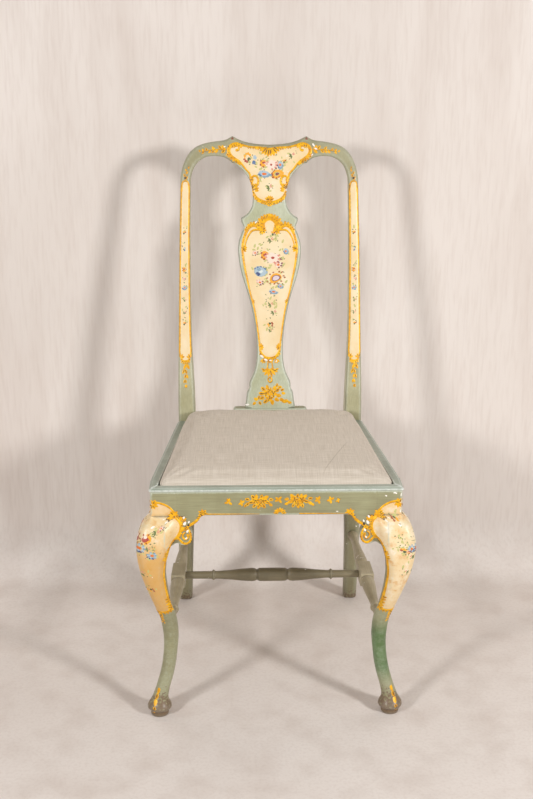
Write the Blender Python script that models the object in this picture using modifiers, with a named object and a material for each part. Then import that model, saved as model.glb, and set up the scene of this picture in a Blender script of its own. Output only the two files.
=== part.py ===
"""Painted wooden side chair with cabriole front legs, a vase splat and a drop-in seat.

Lengths are in metres and the chair stands on z = 0, facing -Y. The parts are laid out
from the front rail's face (y = 0) backwards, and an empty then brings the middle of the
footprint over the origin.
"""

import math

import bmesh
import bpy
from mathutils import Matrix, Vector

# Clearance between glued or seated faces
FIT = 0.0003

# Seat frame
FRONT_WIDTH = 0.4426
BACK_WIDTH = 0.3750
SEAT_DEPTH = 0.3784
RAIL_TOP = 0.4465
RAIL_HEIGHT = 0.0448
RAIL_THICK = 0.0260
LIP_WIDTH = 0.0155
LEDGE_DROP = 0.0140
REAR_LEDGE = 0.0100
REAR_RAIL_BEHIND = 0.0280
RIM_HEIGHT = 0.0072
RIM_NOSE = 0.0050
RIM_OVERHANG = 0.0022
RIM_SETBACK = 0.0018
RIM_ROUNDING = 0.0008
CORNER_BLOCK_HEIGHT = 0.0300
CORNER_BLOCK_REACH = 0.0420

# Mortise and tenon joints of the rails
TENON_THICK = 0.0090
FRONT_TENON = 0.0220
REAR_TENON = 0.0150
TENON_SHOULDER = 0.0080

# Front legs
BLOCK_SIDE = 0.0460
BLOCK_ROUNDING = 0.0023
KNEE_HALF = 0.0315
KNEE_REACH = 0.0220
ANKLE_HALF = 0.0128
ANKLE_RETREAT = 0.0070
FOOT_RADIUS = 0.0229
FOOT_REACH = 0.0163
FOOT_FORWARD = 0.0085
FOOT_HEIGHT = 0.0360
FOOT_PAD_RADIUS = 0.0171
FOOT_PAD_HEIGHT = 0.0115

# Knee brackets
BRACKET_THICK = 0.0220
BRACKET_INSET = 0.0010
BRACKET_REACH = 0.0892
BRACKET_DROP = 0.0577
BRACKET_LAP = 0.0040

# Rear posts
POST_WIDTH_AT_SEAT = 0.0345
POST_DEPTH_AT_SEAT = 0.0400
POST_WIDTH_AT_CREST = 0.0210
POST_DEPTH_AT_CREST = 0.0235
POST_LEAN_IN = 0.0080
FOOT_WIDTH = 0.0293
FOOT_DEPTH = 0.0340
FOOT_SPLAY = 0.0113
FOOT_SWEEP = 0.0977
POST_ROUNDING = 0.0070
FLAT_MARGIN = 0.0150
CREST_TENON = 0.0180
CREST_TENON_SIDE = 0.0090

# Back
CREST_JOINT = 0.9320
BACK_RAKE = 0.0980
CREST_THICK = 0.0215
EAR_RISE = 0.0829
EAR_SPREAD = 0.0747
CREST_DIP = 0.0174
CREST_UNDERSIDE = 0.0300
CREST_ROUNDING = 0.0070
SPLAT_THICK = 0.0110
SPLAT_SETBACK = 0.0040
SPLAT_CHAMFER = 0.0022
SPLAT_BELLY = 0.0640
SPLAT_WAIST = 0.0265
SPLAT_NECK = 0.0335
SPLAT_TOP = 0.0710
SPLAT_BASE = 0.0520
TONGUE_THICK = 0.0060
TONGUE_DEPTH = 0.0120
TONGUE_SHOULDER = 0.0120
SHOE_TOP = 0.4775
SHOE_HALF = 0.0755
SHOE_DEPTH = 0.0260

# Turned stretchers
STRETCHER_HEIGHT = 0.1900
STRETCHER_INSET = 0.0050
STRETCHER_BLOCK = 0.0270
STRETCHER_BLOCK_LENGTH = 0.0600
STRETCHER_SWELL = 0.0133
STRETCHER_NECK = 0.0078
STRETCHER_RING = 0.0108
STRETCHER_RING_SETBACK = 0.0180
STRETCHER_NECK_LENGTH = 0.0080
STRETCHER_TENON = 0.0062
STRETCHER_TENON_LENGTH = 0.0100
CROSS_SETBACK = 0.2050
BARREL_HALF = 0.0285
BARREL_GROOVE = 0.0015

# Drop-in seat
SEAT_GAP = 0.0012
SEAT_FRONT_CORNER = 0.0120
SEAT_BACK_CORNER = 0.0280
SEAT_FRAME_THICK = 0.0160
SEAT_FRAME_WIDTH = 0.0550
SEAT_TENON_THICK = 0.0060
SEAT_TENON_LENGTH = 0.0250
LINEN_THICK = 0.0010
LINEN_TURN_UNDER = 0.0160
HESSIAN_THICK = 0.0008
SEAT_ROLL_WIDTH = 0.0100
SEAT_ROLL_RISE = 0.0240
SEAT_CROWN = 0.0100
WEBBING_WIDTH = 0.0450
WEBBING_THICK = 0.0012
WEBBING_SPACING = 0.0750
WEBBING_EDGE = 0.0120
WEBBING_RAMP = 0.0095

# Levels and lines that follow from the sizes above
RAIL_BOTTOM = RAIL_TOP - RAIL_HEIGHT
LEDGE = RAIL_TOP - LEDGE_DROP
SIDE_SLOPE = (FRONT_WIDTH - BACK_WIDTH) / 2 / (SEAT_DEPTH - BLOCK_SIDE)
SEAT_BASE = LEDGE + FIT
SEAT_FRAME_BASE = SEAT_BASE + LINEN_THICK + FIT
SEAT_FRAME_TOP = SEAT_FRAME_BASE + SEAT_FRAME_THICK
WEBBING_LOW = SEAT_FRAME_TOP + FIT + WEBBING_THICK / 2
WEBBING_HIGH = WEBBING_LOW + WEBBING_THICK + FIT
HESSIAN_BASE = WEBBING_HIGH + WEBBING_THICK / 2 + FIT
STUFFING_BASE = HESSIAN_BASE + HESSIAN_THICK + FIT
LINEN_EDGE = STUFFING_BASE + 4 * LINEN_THICK

NOSE_ANGLES = [math.radians(angle) for angle in (165, 125, 90, 55, 15)]
SIDES = (("left", -1), ("right", 1))

for old in list(bpy.data.objects):
    bpy.data.objects.remove(old)

chair = bpy.data.collections.new("painted_side_chair")
cutters = bpy.data.collections.new("cutters")
bpy.context.scene.collection.children.link(chair)
bpy.context.scene.collection.children.link(cutters)


def material(name, colour, roughness):
    made = bpy.data.materials.new(name)
    made.use_nodes = True
    shader = made.node_tree.nodes["Principled BSDF"]
    shader.inputs["Base Color"].default_value = (*colour, 1)
    shader.inputs["Roughness"].default_value = roughness
    shader.inputs["Metallic"].default_value = 0
    return made


PAINT = material("sage_painted_wood", (0.38, 0.37, 0.21), 0.45)
BEECH = material("bare_beech", (0.50, 0.33, 0.18), 0.6)
LINEN = material("greige_linen", (0.61, 0.52, 0.42), 0.9)
JUTE = material("jute_webbing", (0.42, 0.30, 0.17), 0.95)

root = bpy.data.objects.new("footprint_centre", None)
seat_lift = bpy.data.objects.new("seat_lift_axis", None)
chair.objects.link(root)
chair.objects.link(seat_lift)
seat_lift.parent = root
seat_lift.location = (0, SEAT_DEPTH / 2, LEDGE)


def smooth_through(knots):
    """A function of place that passes smoothly through (place, value) knots and never overshoots them."""
    places = [knot[0] for knot in knots]
    values = [knot[1] for knot in knots]
    rises = [(b[1] - a[1]) / (b[0] - a[0]) for a, b in zip(knots, knots[1:])]
    slopes = [rises[0]]
    for before, after in zip(rises, rises[1:]):
        turning = before * after <= 0
        slopes.append(0 if turning else 2 * before * after / (before + after))
    slopes.append(rises[-1])

    def value(place):
        last = len(places) - 2
        i = next((k for k in range(last) if place <= places[k + 1]), last)
        span = places[i + 1] - places[i]
        t = min(max((place - places[i]) / span, 0), 1)
        ease = t * t * (3 - 2 * t)
        start_pull = t * (1 - t) ** 2 * span * slopes[i]
        end_pull = t * t * (t - 1) * span * slopes[i + 1]
        return values[i] + (values[i + 1] - values[i]) * ease + start_pull + end_pull

    return value


def stations(places, between):
    """The places in order, with evenly spaced ones added between each two."""
    found = []
    for a, b in zip(places, places[1:]):
        found += [a + (b - a) * step / between for step in range(between)]
    return found + [places[-1]]


def rounded(corners, radii, steps=4, run=0):
    """A convex outline, anticlockwise, with arcs at its corners and run points on each straight."""
    arcs = []
    for i, (corner, radius) in enumerate(zip(corners, radii)):
        corner = Vector(corner)
        back = (Vector(corners[i - 1]) - corner).normalized()
        ahead = (Vector(corners[(i + 1) % len(corners)]) - corner).normalized()
        half = back.angle(ahead) / 2
        middle = corner + (back + ahead).normalized() * radius / math.sin(half)
        spoke = corner + back * radius / math.tan(half) - middle
        turn = (math.pi - 2 * half) / steps
        arcs.append([middle + Matrix.Rotation(turn * k, 2) @ spoke for k in range(steps + 1)])
    outline = []
    for i, arc in enumerate(arcs):
        following = arcs[(i + 1) % len(arcs)][0]
        outline += arc
        outline += [arc[-1].lerp(following, k / (run + 1)) for k in range(1, run + 1)]
    return outline


def section(half_x, half_y, radius, steps=4):
    """A rounded rectangle about the origin."""
    corners = [(-half_x, -half_y), (half_x, -half_y), (half_x, half_y), (-half_x, half_y)]
    return rounded(corners, [min(radius, 0.97 * half_x, 0.97 * half_y)] * 4, steps)


def place(name, shape, finish, holder=root, collection=chair):
    """An object from a bmesh, laid out in the chair's frame and parented to holder."""
    mesh = bpy.data.meshes.new(name)
    bmesh.ops.recalc_face_normals(shape, faces=shape.faces)
    shape.to_mesh(mesh)
    shape.free()
    mesh.shade_smooth()
    mesh.set_sharp_from_angle(angle=math.radians(35))
    made = bpy.data.objects.new(name, mesh)
    collection.objects.link(made)
    made.parent = holder
    if holder is seat_lift:
        mesh.transform(Matrix.Translation(-seat_lift.location))
    if finish:
        mesh.materials.append(finish)
    if collection is cutters:
        made.hide_render = True
        made.display_type = "WIRE"
    return made


def skin(rings, closed=True):
    """A bmesh through a row of rings with equal counts, capped at both ends or at the last only."""
    shape = bmesh.new()
    loops = [[shape.verts.new(point) for point in ring] for ring in rings]
    for low, high in zip(loops, loops[1:]):
        for i in range(len(low)):
            j = (i + 1) % len(low)
            shape.faces.new((low[i], low[j], high[j], high[i]))
    if closed:
        shape.faces.new(loops[0][::-1])
    shape.faces.new(loops[-1])
    return shape


def prism(outline, low, high):
    """A bmesh of an outline in plan, extruded between two heights."""
    return skin([[(*point, z) for point in outline] for z in (low, high)])


def block(corner, opposite):
    """A bmesh box between two opposite corners."""
    shape = bmesh.new()
    size = Vector(opposite) - Vector(corner)
    middle = (Vector(opposite) + Vector(corner)) / 2
    bmesh.ops.create_cube(shape, size=1)
    bmesh.ops.scale(shape, vec=[abs(side) for side in size], verts=shape.verts)
    bmesh.ops.translate(shape, vec=middle, verts=shape.verts)
    return shape


def boolean(piece, tool, operation):
    modifier = piece.modifiers.new(f"{operation.lower()}_{tool.name}", "BOOLEAN")
    modifier.object = tool
    modifier.operation = operation
    modifier.solver = "EXACT"


def helper(name, shape, holder=root):
    return place(name, shape, None, holder, cutters)


def tenon(name, tenoned, mortised, corner, opposite, holder=root):
    """A tenon box joined to one piece, and its mortise with clearance cut in the other."""
    low = Vector([min(a, b) for a, b in zip(corner, opposite)])
    high = Vector([max(a, b) for a, b in zip(corner, opposite)])
    room = Vector((FIT, FIT, FIT))
    boolean(tenoned, helper(f"{name}_tenon", block(low, high), holder), "UNION")
    boolean(mortised, helper(f"{name}_mortise", block(low - room, high + room), holder), "DIFFERENCE")


def side_face(y, inset=0.0):
    """Half-width at y of the side rails' outer faces, moved square inwards by inset."""
    return FRONT_WIDTH / 2 - (y - BLOCK_SIDE) * SIDE_SLOPE - inset * math.hypot(1, SIDE_SLOPE)


def mirrored(outline, side):
    """The outline on the right (side 1) or on the left (side -1), anticlockwise either way."""
    turned = [(side * x, y) for x, y in outline]
    return turned if side > 0 else turned[::-1]


def seat_outline(inset, run=0, steps=4):
    """The drop-in seat in plan, its edge moved inwards by inset."""
    edge = LIP_WIDTH + SEAT_GAP + inset
    back = SEAT_DEPTH - SEAT_GAP - inset
    corners = [
        (-side_face(edge, edge), edge),
        (side_face(edge, edge), edge),
        (side_face(back, edge), back),
        (-side_face(back, edge), back),
    ]
    front_radius = max(SEAT_FRONT_CORNER - inset, SEAT_FRONT_CORNER / 3)
    back_radius = max(SEAT_BACK_CORNER - inset, SEAT_BACK_CORNER / 3)
    return rounded(corners, [front_radius, front_radius, back_radius, back_radius], steps, run)


# Back line: how far the front faces of posts, splat and crest lie behind the seat at each height
CREST_TOP = CREST_JOINT + EAR_RISE
RAKE_SLOPE = BACK_RAKE / (CREST_JOINT - RAIL_TOP)
leg_sweep = smooth_through(
    [
        (0, FOOT_SWEEP),
        (STRETCHER_HEIGHT / 2, 0.55 * FOOT_SWEEP),
        (STRETCHER_HEIGHT, 0.19 * FOOT_SWEEP),
        (0.75 * RAIL_BOTTOM, 0.015 * FOOT_SWEEP),
        (RAIL_BOTTOM - FLAT_MARGIN, 0),
        (RAIL_TOP + FLAT_MARGIN, 0),
    ]
)
back_sweep = smooth_through(
    [
        (RAIL_TOP, 0),
        (RAIL_TOP + FLAT_MARGIN, 0),
        (RAIL_TOP + 0.30 * (CREST_JOINT - RAIL_TOP), 0.28 * BACK_RAKE),
        (RAIL_TOP + 0.70 * (CREST_JOINT - RAIL_TOP), 0.70 * BACK_RAKE),
        (CREST_JOINT, BACK_RAKE),
        (CREST_TOP, BACK_RAKE + EAR_RISE * RAKE_SLOPE),
    ]
)


def back_line(z):
    return leg_sweep(z) if z < RAIL_TOP else back_sweep(z)


# Rear posts
above = CREST_JOINT - RAIL_TOP
post_outer = smooth_through(
    [
        (0, BACK_WIDTH / 2 + FOOT_SPLAY),
        (STRETCHER_HEIGHT, BACK_WIDTH / 2 + FOOT_SPLAY / 2),
        (RAIL_BOTTOM - FLAT_MARGIN, BACK_WIDTH / 2),
        (RAIL_TOP + FLAT_MARGIN, BACK_WIDTH / 2),
        (RAIL_TOP + 0.70 * above, BACK_WIDTH / 2 - POST_LEAN_IN / 2),
        (CREST_JOINT, BACK_WIDTH / 2 - POST_LEAN_IN),
    ]
)
post_width = smooth_through(
    [
        (0, FOOT_WIDTH),
        (STRETCHER_HEIGHT, (FOOT_WIDTH + POST_WIDTH_AT_SEAT) / 2),
        (RAIL_BOTTOM - FLAT_MARGIN, POST_WIDTH_AT_SEAT),
        (RAIL_TOP + FLAT_MARGIN, POST_WIDTH_AT_SEAT),
        (RAIL_TOP + 0.38 * above, 0.77 * POST_WIDTH_AT_SEAT),
        (RAIL_TOP + 0.70 * above, 1.10 * POST_WIDTH_AT_CREST),
        (CREST_JOINT, POST_WIDTH_AT_CREST),
    ]
)
post_depth = smooth_through(
    [
        (0, FOOT_DEPTH),
        (RAIL_BOTTOM - FLAT_MARGIN, POST_DEPTH_AT_SEAT),
        (RAIL_TOP + FLAT_MARGIN, POST_DEPTH_AT_SEAT),
        (RAIL_TOP + 0.38 * above, (POST_DEPTH_AT_SEAT + POST_DEPTH_AT_CREST) / 2),
        (CREST_JOINT, POST_DEPTH_AT_CREST),
    ]
)
post_rounding = smooth_through(
    [
        (0, 1.4 * POST_ROUNDING),
        (STRETCHER_HEIGHT, 1.4 * POST_ROUNDING),
        (RAIL_BOTTOM - FLAT_MARGIN, POST_ROUNDING / 2),
        (RAIL_TOP + FLAT_MARGIN, POST_ROUNDING / 2),
        (RAIL_TOP + 0.38 * above, POST_ROUNDING),
        (CREST_JOINT, POST_ROUNDING),
    ]
)


def post_centre(z, side):
    x = side * (post_outer(z) - post_width(z) / 2)
    return Vector((x, SEAT_DEPTH + back_line(z) + post_depth(z) / 2, z))


def post_ring(z, side):
    centre = post_centre(z, side)
    outline = section(post_width(z) / 2, post_depth(z) / 2, post_rounding(z))
    return [centre + Vector((x, y, 0)) for x, y in outline]


def rear_post(name, side):
    levels = [
        0,
        STRETCHER_HEIGHT / 2,
        STRETCHER_HEIGHT,
        0.75 * RAIL_BOTTOM,
        RAIL_BOTTOM - FLAT_MARGIN,
        RAIL_TOP + FLAT_MARGIN,
        RAIL_TOP + 0.38 * above,
        RAIL_TOP + 0.70 * above,
        CREST_JOINT,
    ]
    return place(name, skin([post_ring(z, side) for z in stations(levels, 4)]), PAINT)


# Front legs: the section's half-size, its shift outwards and forwards, and how round it is
leg_half = smooth_through(
    [
        (0, 0.95 * FOOT_PAD_RADIUS),
        (0.2 * FOOT_PAD_HEIGHT, FOOT_PAD_RADIUS),
        (FOOT_PAD_HEIGHT, FOOT_PAD_RADIUS),
        (FOOT_PAD_HEIGHT + 0.06 * FOOT_HEIGHT, 0.97 * FOOT_RADIUS),
        (FOOT_PAD_HEIGHT + 0.14 * FOOT_HEIGHT, FOOT_RADIUS),
        (FOOT_PAD_HEIGHT + 0.28 * FOOT_HEIGHT, 0.95 * FOOT_RADIUS),
        (FOOT_PAD_HEIGHT + 0.45 * FOOT_HEIGHT, 0.78 * FOOT_RADIUS),
        (FOOT_HEIGHT, 1.15 * ANKLE_HALF),
        (1.45 * FOOT_HEIGHT, 1.03 * ANKLE_HALF),
        (0.30 * RAIL_BOTTOM, ANKLE_HALF),
        (0.42 * RAIL_BOTTOM, 1.14 * ANKLE_HALF),
        (0.54 * RAIL_BOTTOM, 0.50 * KNEE_HALF),
        (0.67 * RAIL_BOTTOM, 0.63 * KNEE_HALF),
        (0.79 * RAIL_BOTTOM, 0.80 * KNEE_HALF),
        (0.86 * RAIL_BOTTOM, 0.96 * KNEE_HALF),
        (0.91 * RAIL_BOTTOM, KNEE_HALF),
        (0.958 * RAIL_BOTTOM, 0.95 * KNEE_HALF),
        (0.978 * RAIL_BOTTOM, (KNEE_HALF + BLOCK_SIDE / 2) / 2),
        (0.99 * RAIL_BOTTOM, 0.525 * BLOCK_SIDE),
        (RAIL_BOTTOM, BLOCK_SIDE / 2),
        (RAIL_TOP, BLOCK_SIDE / 2),
    ]
)
leg_shift = smooth_through(
    [
        (0, FOOT_REACH),
        (0.76 * FOOT_HEIGHT, FOOT_REACH),
        (FOOT_HEIGHT, 0.90 * FOOT_REACH),
        (0.20 * RAIL_BOTTOM, 0.10 * FOOT_REACH),
        (0.275 * RAIL_BOTTOM, -0.57 * ANKLE_RETREAT),
        (0.38 * RAIL_BOTTOM, -ANKLE_RETREAT),
        (0.475 * RAIL_BOTTOM, -0.50 * ANKLE_RETREAT),
        (0.54 * RAIL_BOTTOM, 0.18 * KNEE_REACH),
        (0.67 * RAIL_BOTTOM, 0.75 * KNEE_REACH),
        (0.775 * RAIL_BOTTOM, KNEE_REACH),
        (0.8625 * RAIL_BOTTOM, 0.85 * KNEE_REACH),
        (0.905 * RAIL_BOTTOM, 0.69 * KNEE_REACH),
        (0.958 * RAIL_BOTTOM, 0.39 * KNEE_REACH),
        (0.99 * RAIL_BOTTOM, 0.08 * KNEE_REACH),
        (RAIL_BOTTOM, 0),
        (RAIL_TOP, 0),
    ]
)
foot_share = smooth_through(
    [
        (0, 1),
        (0.76 * FOOT_HEIGHT, 1),
        (FOOT_HEIGHT, 0.90),
        (0.20 * RAIL_BOTTOM, 0.10),
        (0.275 * RAIL_BOTTOM, 0),
        (RAIL_TOP, 0),
    ]
)
leg_roundness = smooth_through(
    [
        (0, 0.97),
        (0.54 * RAIL_BOTTOM, 0.95),
        (0.79 * RAIL_BOTTOM, 0.68),
        (0.91 * RAIL_BOTTOM, 0.50),
        (0.978 * RAIL_BOTTOM, 0.40),
        (RAIL_BOTTOM, 2 * BLOCK_ROUNDING / BLOCK_SIDE),
        (RAIL_TOP, 2 * BLOCK_ROUNDING / BLOCK_SIDE),
    ]
)


def leg_forward(z):
    """How far the leg's section lies in front of its block: as far as outwards, but less at the foot."""
    return leg_shift(z) - (FOOT_REACH - FOOT_FORWARD) * foot_share(z)


def leg_centre(z, side):
    x = side * (FRONT_WIDTH / 2 - BLOCK_SIDE / 2 + leg_shift(z))
    return Vector((x, BLOCK_SIDE / 2 - leg_forward(z), z))


def leg_ring(z, side, grow=0.0):
    half = leg_half(z) + grow
    outline = section(half, half, leg_roundness(z) * half)
    return [leg_centre(z, side) + Vector((x, y, 0)) for x, y in outline]


def leg_rings(side, grow=0.0):
    foot = [0.06, 0.14, 0.28, 0.45]
    upper = [0.20, 0.30, 0.38, 0.475, 0.54, 0.67, 0.79, 0.8625, 0.91, 0.958, 0.978, 0.99, 1]
    levels = [0, 0.2 * FOOT_PAD_HEIGHT, FOOT_PAD_HEIGHT]
    levels += [FOOT_PAD_HEIGHT + share * FOOT_HEIGHT for share in foot]
    levels += [FOOT_HEIGHT, 1.45 * FOOT_HEIGHT]
    levels += stations([share * RAIL_BOTTOM for share in upper], 2)
    return [leg_ring(z, side, grow) for z in levels + [RAIL_TOP + grow]]


def front_leg(name, side):
    return place(name, skin(leg_rings(side)), PAINT)


def knee_bracket(name, side, along_side, leg_cutter):
    """A scrolled bracket: its outline in reach and drop, scribed to the leg, stood under its rail."""
    reach = BRACKET_REACH
    drop = BRACKET_DROP
    scroll_middle = (0.65 * reach, -0.69 * drop)
    scroll_size = Vector((0.174 * reach, 0.31 * drop))
    outline = [
        (BLOCK_SIDE - BRACKET_LAP, -FIT),
        (BLOCK_SIDE / 2, -drop),
        (0.43 * reach, -drop),
        (0.50 * reach, -0.90 * drop),
    ]
    for step in range(10):
        angle = math.radians(-125 + 20 * step)
        spot = (scroll_size.x * math.cos(angle), scroll_size.y * math.sin(angle))
        outline.append((scroll_middle[0] + spot[0], scroll_middle[1] + spot[1]))
    outline += [(0.75 * reach, -0.375 * drop), (0.835 * reach, -0.34 * drop)]
    outline += [(0.92 * reach, -0.22 * drop), (0.973 * reach, -0.10 * drop), (reach, -FIT)]
    rings = []
    for depth in (BRACKET_INSET, BRACKET_INSET + BRACKET_THICK):
        ring = []
        for along, up in outline:
            if along_side:
                x, y = side_face(along, depth), along - depth * SIDE_SLOPE
            else:
                x, y = FRONT_WIDTH / 2 - along, depth
            ring.append((side * x, y, RAIL_BOTTOM + up))
        rings.append(ring)
    made = place(name, skin(rings), PAINT)
    boolean(made, leg_cutter, "DIFFERENCE")
    return made


def straight_rail(name, half_length, front, back):
    shape = block((-half_length, front, RAIL_BOTTOM), (half_length, back, RAIL_TOP))
    return place(name, shape, PAINT)


def side_rail(name, side):
    start = BLOCK_SIDE + FIT
    end = SEAT_DEPTH - FIT
    outline = [
        (side_face(start), start),
        (side_face(end), end),
        (side_face(end, RAIL_THICK), end),
        (side_face(start, RAIL_THICK), start),
    ]
    return place(name, prism(mirrored(outline, side), RAIL_BOTTOM, RAIL_TOP), PAINT)


def rim_strip(name, outline_at):
    """A strip from its outline at each overhang: a half-round nose, and a plate set back above it."""
    low = RAIL_TOP + FIT
    nose = RIM_NOSE - FIT
    top = RAIL_TOP + RIM_HEIGHT
    levels = []
    for angle in NOSE_ANGLES:
        levels.append((low + (1 + math.cos(angle)) * nose / 2, RIM_OVERHANG * math.sin(angle)))
    levels += [(low + nose, -RIM_SETBACK), (top - RIM_ROUNDING, -RIM_SETBACK)]
    levels += [(top, -RIM_SETBACK - RIM_ROUNDING)]
    return place(name, skin([[(*point, z) for point in outline_at(over)] for z, over in levels]), PAINT)


def rim_mouldings():
    inner = side_face(LIP_WIDTH, LIP_WIDTH)
    mitre = FIT
    end = SEAT_DEPTH - FIT

    def front_outline(over):
        outer = FRONT_WIDTH / 2 + over - mitre
        back = [(inner - mitre, LIP_WIDTH), (-inner + mitre, LIP_WIDTH)]
        return [(-outer, -over), (outer, -over)] + back

    def side_outline(over):
        outer = FRONT_WIDTH / 2 + over
        outside = [(outer, -over + mitre), (outer, BLOCK_SIDE), (side_face(end) + over, end)]
        return outside + [(side_face(end, LIP_WIDTH), end), (inner, LIP_WIDTH + mitre)]

    rim_strip("front_rim_moulding", front_outline)
    for word, side in SIDES:
        rim_strip(f"{word}_rim_moulding", lambda over: mirrored(side_outline(over), side))


def corner_blocks():
    """Braces across the corners inside the rails, level with the ledge that the seat rests on."""
    front = RAIL_THICK + FIT
    back = SEAT_DEPTH - REAR_LEDGE - FIT
    leg_corner = FRONT_WIDTH / 2 - BLOCK_SIDE
    near = BLOCK_SIDE + 1.2 * RAIL_THICK
    reach = CORNER_BLOCK_REACH

    def on_side(y):
        return (side_face(y, RAIL_THICK + FIT), y)

    front_outline = [
        (leg_corner - RAIL_THICK, front),
        on_side(near),
        on_side(near + reach),
        (leg_corner - RAIL_THICK - reach, front),
    ]
    post_face = BACK_WIDTH / 2 - POST_WIDTH_AT_SEAT
    rear_outline = [
        (post_face - reach - REAR_LEDGE, back),
        on_side(back - RAIL_THICK - reach),
        on_side(back - RAIL_THICK),
        (post_face - REAR_LEDGE, back),
    ]
    for word, side in SIDES:
        for end, outline in (("front", front_outline), ("rear", rear_outline)):
            shape = prism(mirrored(outline, side), LEDGE - CORNER_BLOCK_HEIGHT, LEDGE)
            place(f"{end}_{word}_corner_block", shape, BEECH)


# Crest rail: (share of the way from ear to post, share of the ear's rise) along its top and underside
SHOULDER_TOP = [(1, 0), (0.972, 0.20), (0.92, 0.40), (0.835, 0.585), (0.704, 0.736), (0.539, 0.820)]
SHOULDER_TOP += [(0.356, 0.865), (0.198, 0.887), (0.092, 0.923), (0, 1)]
SHOULDER_UNDER = [(0.765, 0.163), (0.708, 0.31), (0.628, 0.416), (0.520, 0.495), (0.417, 0.525)]
SHOULDER_UNDER += [(0.294, 0.527), (0.172, 0.500), (0.078, 0.449)]
CREST_TOP_SAG = [(0.83, 0.40), (0.60, 0.73), (0.28, 0.94), (0, 1)]


def crest_edges():
    """Pairs of top and underside points, (x, z), from the right shoulder to the middle."""
    post = BACK_WIDTH / 2 - POST_LEAN_IN
    span = post - EAR_SPREAD
    tops = [Vector((EAR_SPREAD + a * span, CREST_JOINT + b * EAR_RISE)) for a, b in SHOULDER_TOP]
    tops += [Vector((a * EAR_SPREAD, CREST_TOP - b * CREST_DIP)) for a, b in CREST_TOP_SAG]
    unders = [Vector((post - POST_WIDTH_AT_CREST, CREST_JOINT))]
    unders += [Vector((EAR_SPREAD + a * span, CREST_JOINT + b * EAR_RISE)) for a, b in SHOULDER_UNDER]
    flat = CREST_JOINT + CREST_UNDERSIDE
    unders += [Vector((EAR_SPREAD, flat))]
    unders += [Vector((a * EAR_SPREAD, flat)) for a, _ in CREST_TOP_SAG]
    return tops, unders


def crest_rings():
    tops, unders = crest_edges()
    ear = len(SHOULDER_TOP) - 1
    tracks = []
    for points in (tops, unders):
        track = []
        for first, last in ((0, ear), (ear, len(points) - 1)):
            xs = smooth_through([(k, points[k].x) for k in range(first, last + 1)])
            zs = smooth_through([(k, points[k].y) for k in range(first, last + 1)])
            places = stations(list(range(first, last + 1)), 2)
            track += [Vector((xs(k), zs(k))) for k in places[: -1 if last == ear else None]]
        tracks.append(track)
    rings = []
    for top, under in zip(*tracks):
        share = min(max((top.y - CREST_JOINT) / EAR_RISE, 0), 1)
        thick = POST_DEPTH_AT_CREST + (CREST_THICK - POST_DEPTH_AT_CREST) * share
        middle = (top + under) / 2
        across = (top - under).normalized()
        half = (top - under).length / 2
        ring = []
        for a, b in section(half, thick / 2, CREST_ROUNDING):
            spot = middle + across * a
            y = SEAT_DEPTH + back_line(max(spot.y, CREST_JOINT)) + thick / 2 + b
            ring.append(Vector((spot.x, y, max(spot.y, CREST_JOINT + FIT))))
        rings.append(ring)
    left = [[Vector((-p.x, p.y, p.z)) for p in ring] for ring in rings[-2::-1]]
    return rings + left


def crest_rail():
    return place("crest_rail", skin(crest_rings()), PAINT)


def splat_half_widths():
    """(height, half-width) up the splat's edge: base, waist, belly, then the eared neck and flare."""
    foot = SHOE_TOP + FIT
    top = CREST_JOINT + CREST_UNDERSIDE - FIT
    rise = top - foot
    base = [(0, SPLAT_BASE), (0.035, 0.94 * SPLAT_BASE)]
    base += [(0.068, 0.90 * SPLAT_BASE), (0.083, 0.80 * SPLAT_BASE)]
    vase = [(0.083, 0.80 * SPLAT_BASE), (0.097, 0.82 * SPLAT_BASE), (0.120, 0.76 * SPLAT_BASE)]
    vase += [(0.150, 1.22 * SPLAT_WAIST), (0.195, 1.04 * SPLAT_WAIST), (0.240, SPLAT_WAIST)]
    vase += [(0.320, 1.10 * SPLAT_WAIST), (0.380, 0.53 * SPLAT_BELLY), (0.445, 0.64 * SPLAT_BELLY)]
    vase += [(0.500, 0.77 * SPLAT_BELLY), (0.550, 0.89 * SPLAT_BELLY), (0.615, 0.985 * SPLAT_BELLY)]
    vase += [(0.655, SPLAT_BELLY), (0.690, 0.965 * SPLAT_BELLY), (0.740, 0.81 * SPLAT_BELLY)]
    ear = [(0.740, 0.81 * SPLAT_BELLY), (0.762, 0.885 * SPLAT_BELLY), (0.779, 0.915 * SPLAT_BELLY)]
    neck = [(0.779, 0.915 * SPLAT_BELLY), (0.790, 1.45 * SPLAT_NECK), (0.809, 1.20 * SPLAT_NECK)]
    neck += [(0.835, 1.03 * SPLAT_NECK), (0.868, SPLAT_NECK), (0.912, 1.08 * SPLAT_NECK)]
    neck += [(0.946, 0.62 * SPLAT_TOP), (0.975, 0.78 * SPLAT_TOP), (1, SPLAT_TOP)]
    points = []
    for stretch in (base, vase, ear, neck):
        curve = smooth_through(stretch)
        shares = stations([share for share, _ in stretch], 2)
        points += [(foot + share * rise, curve(share)) for share in shares[:-1]]
    return points + [(top, SPLAT_TOP)]


def splat_centre(z):
    return SEAT_DEPTH + back_line(z) + SPLAT_SETBACK + SPLAT_THICK / 2


def back_splat():
    rings = []
    for z, half in splat_half_widths():
        outline = section(half, SPLAT_THICK / 2, SPLAT_CHAMFER, 1)
        rings.append([Vector((x, splat_centre(z) + y, z)) for x, y in outline])
    return place("back_splat", skin(rings), PAINT)


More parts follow.
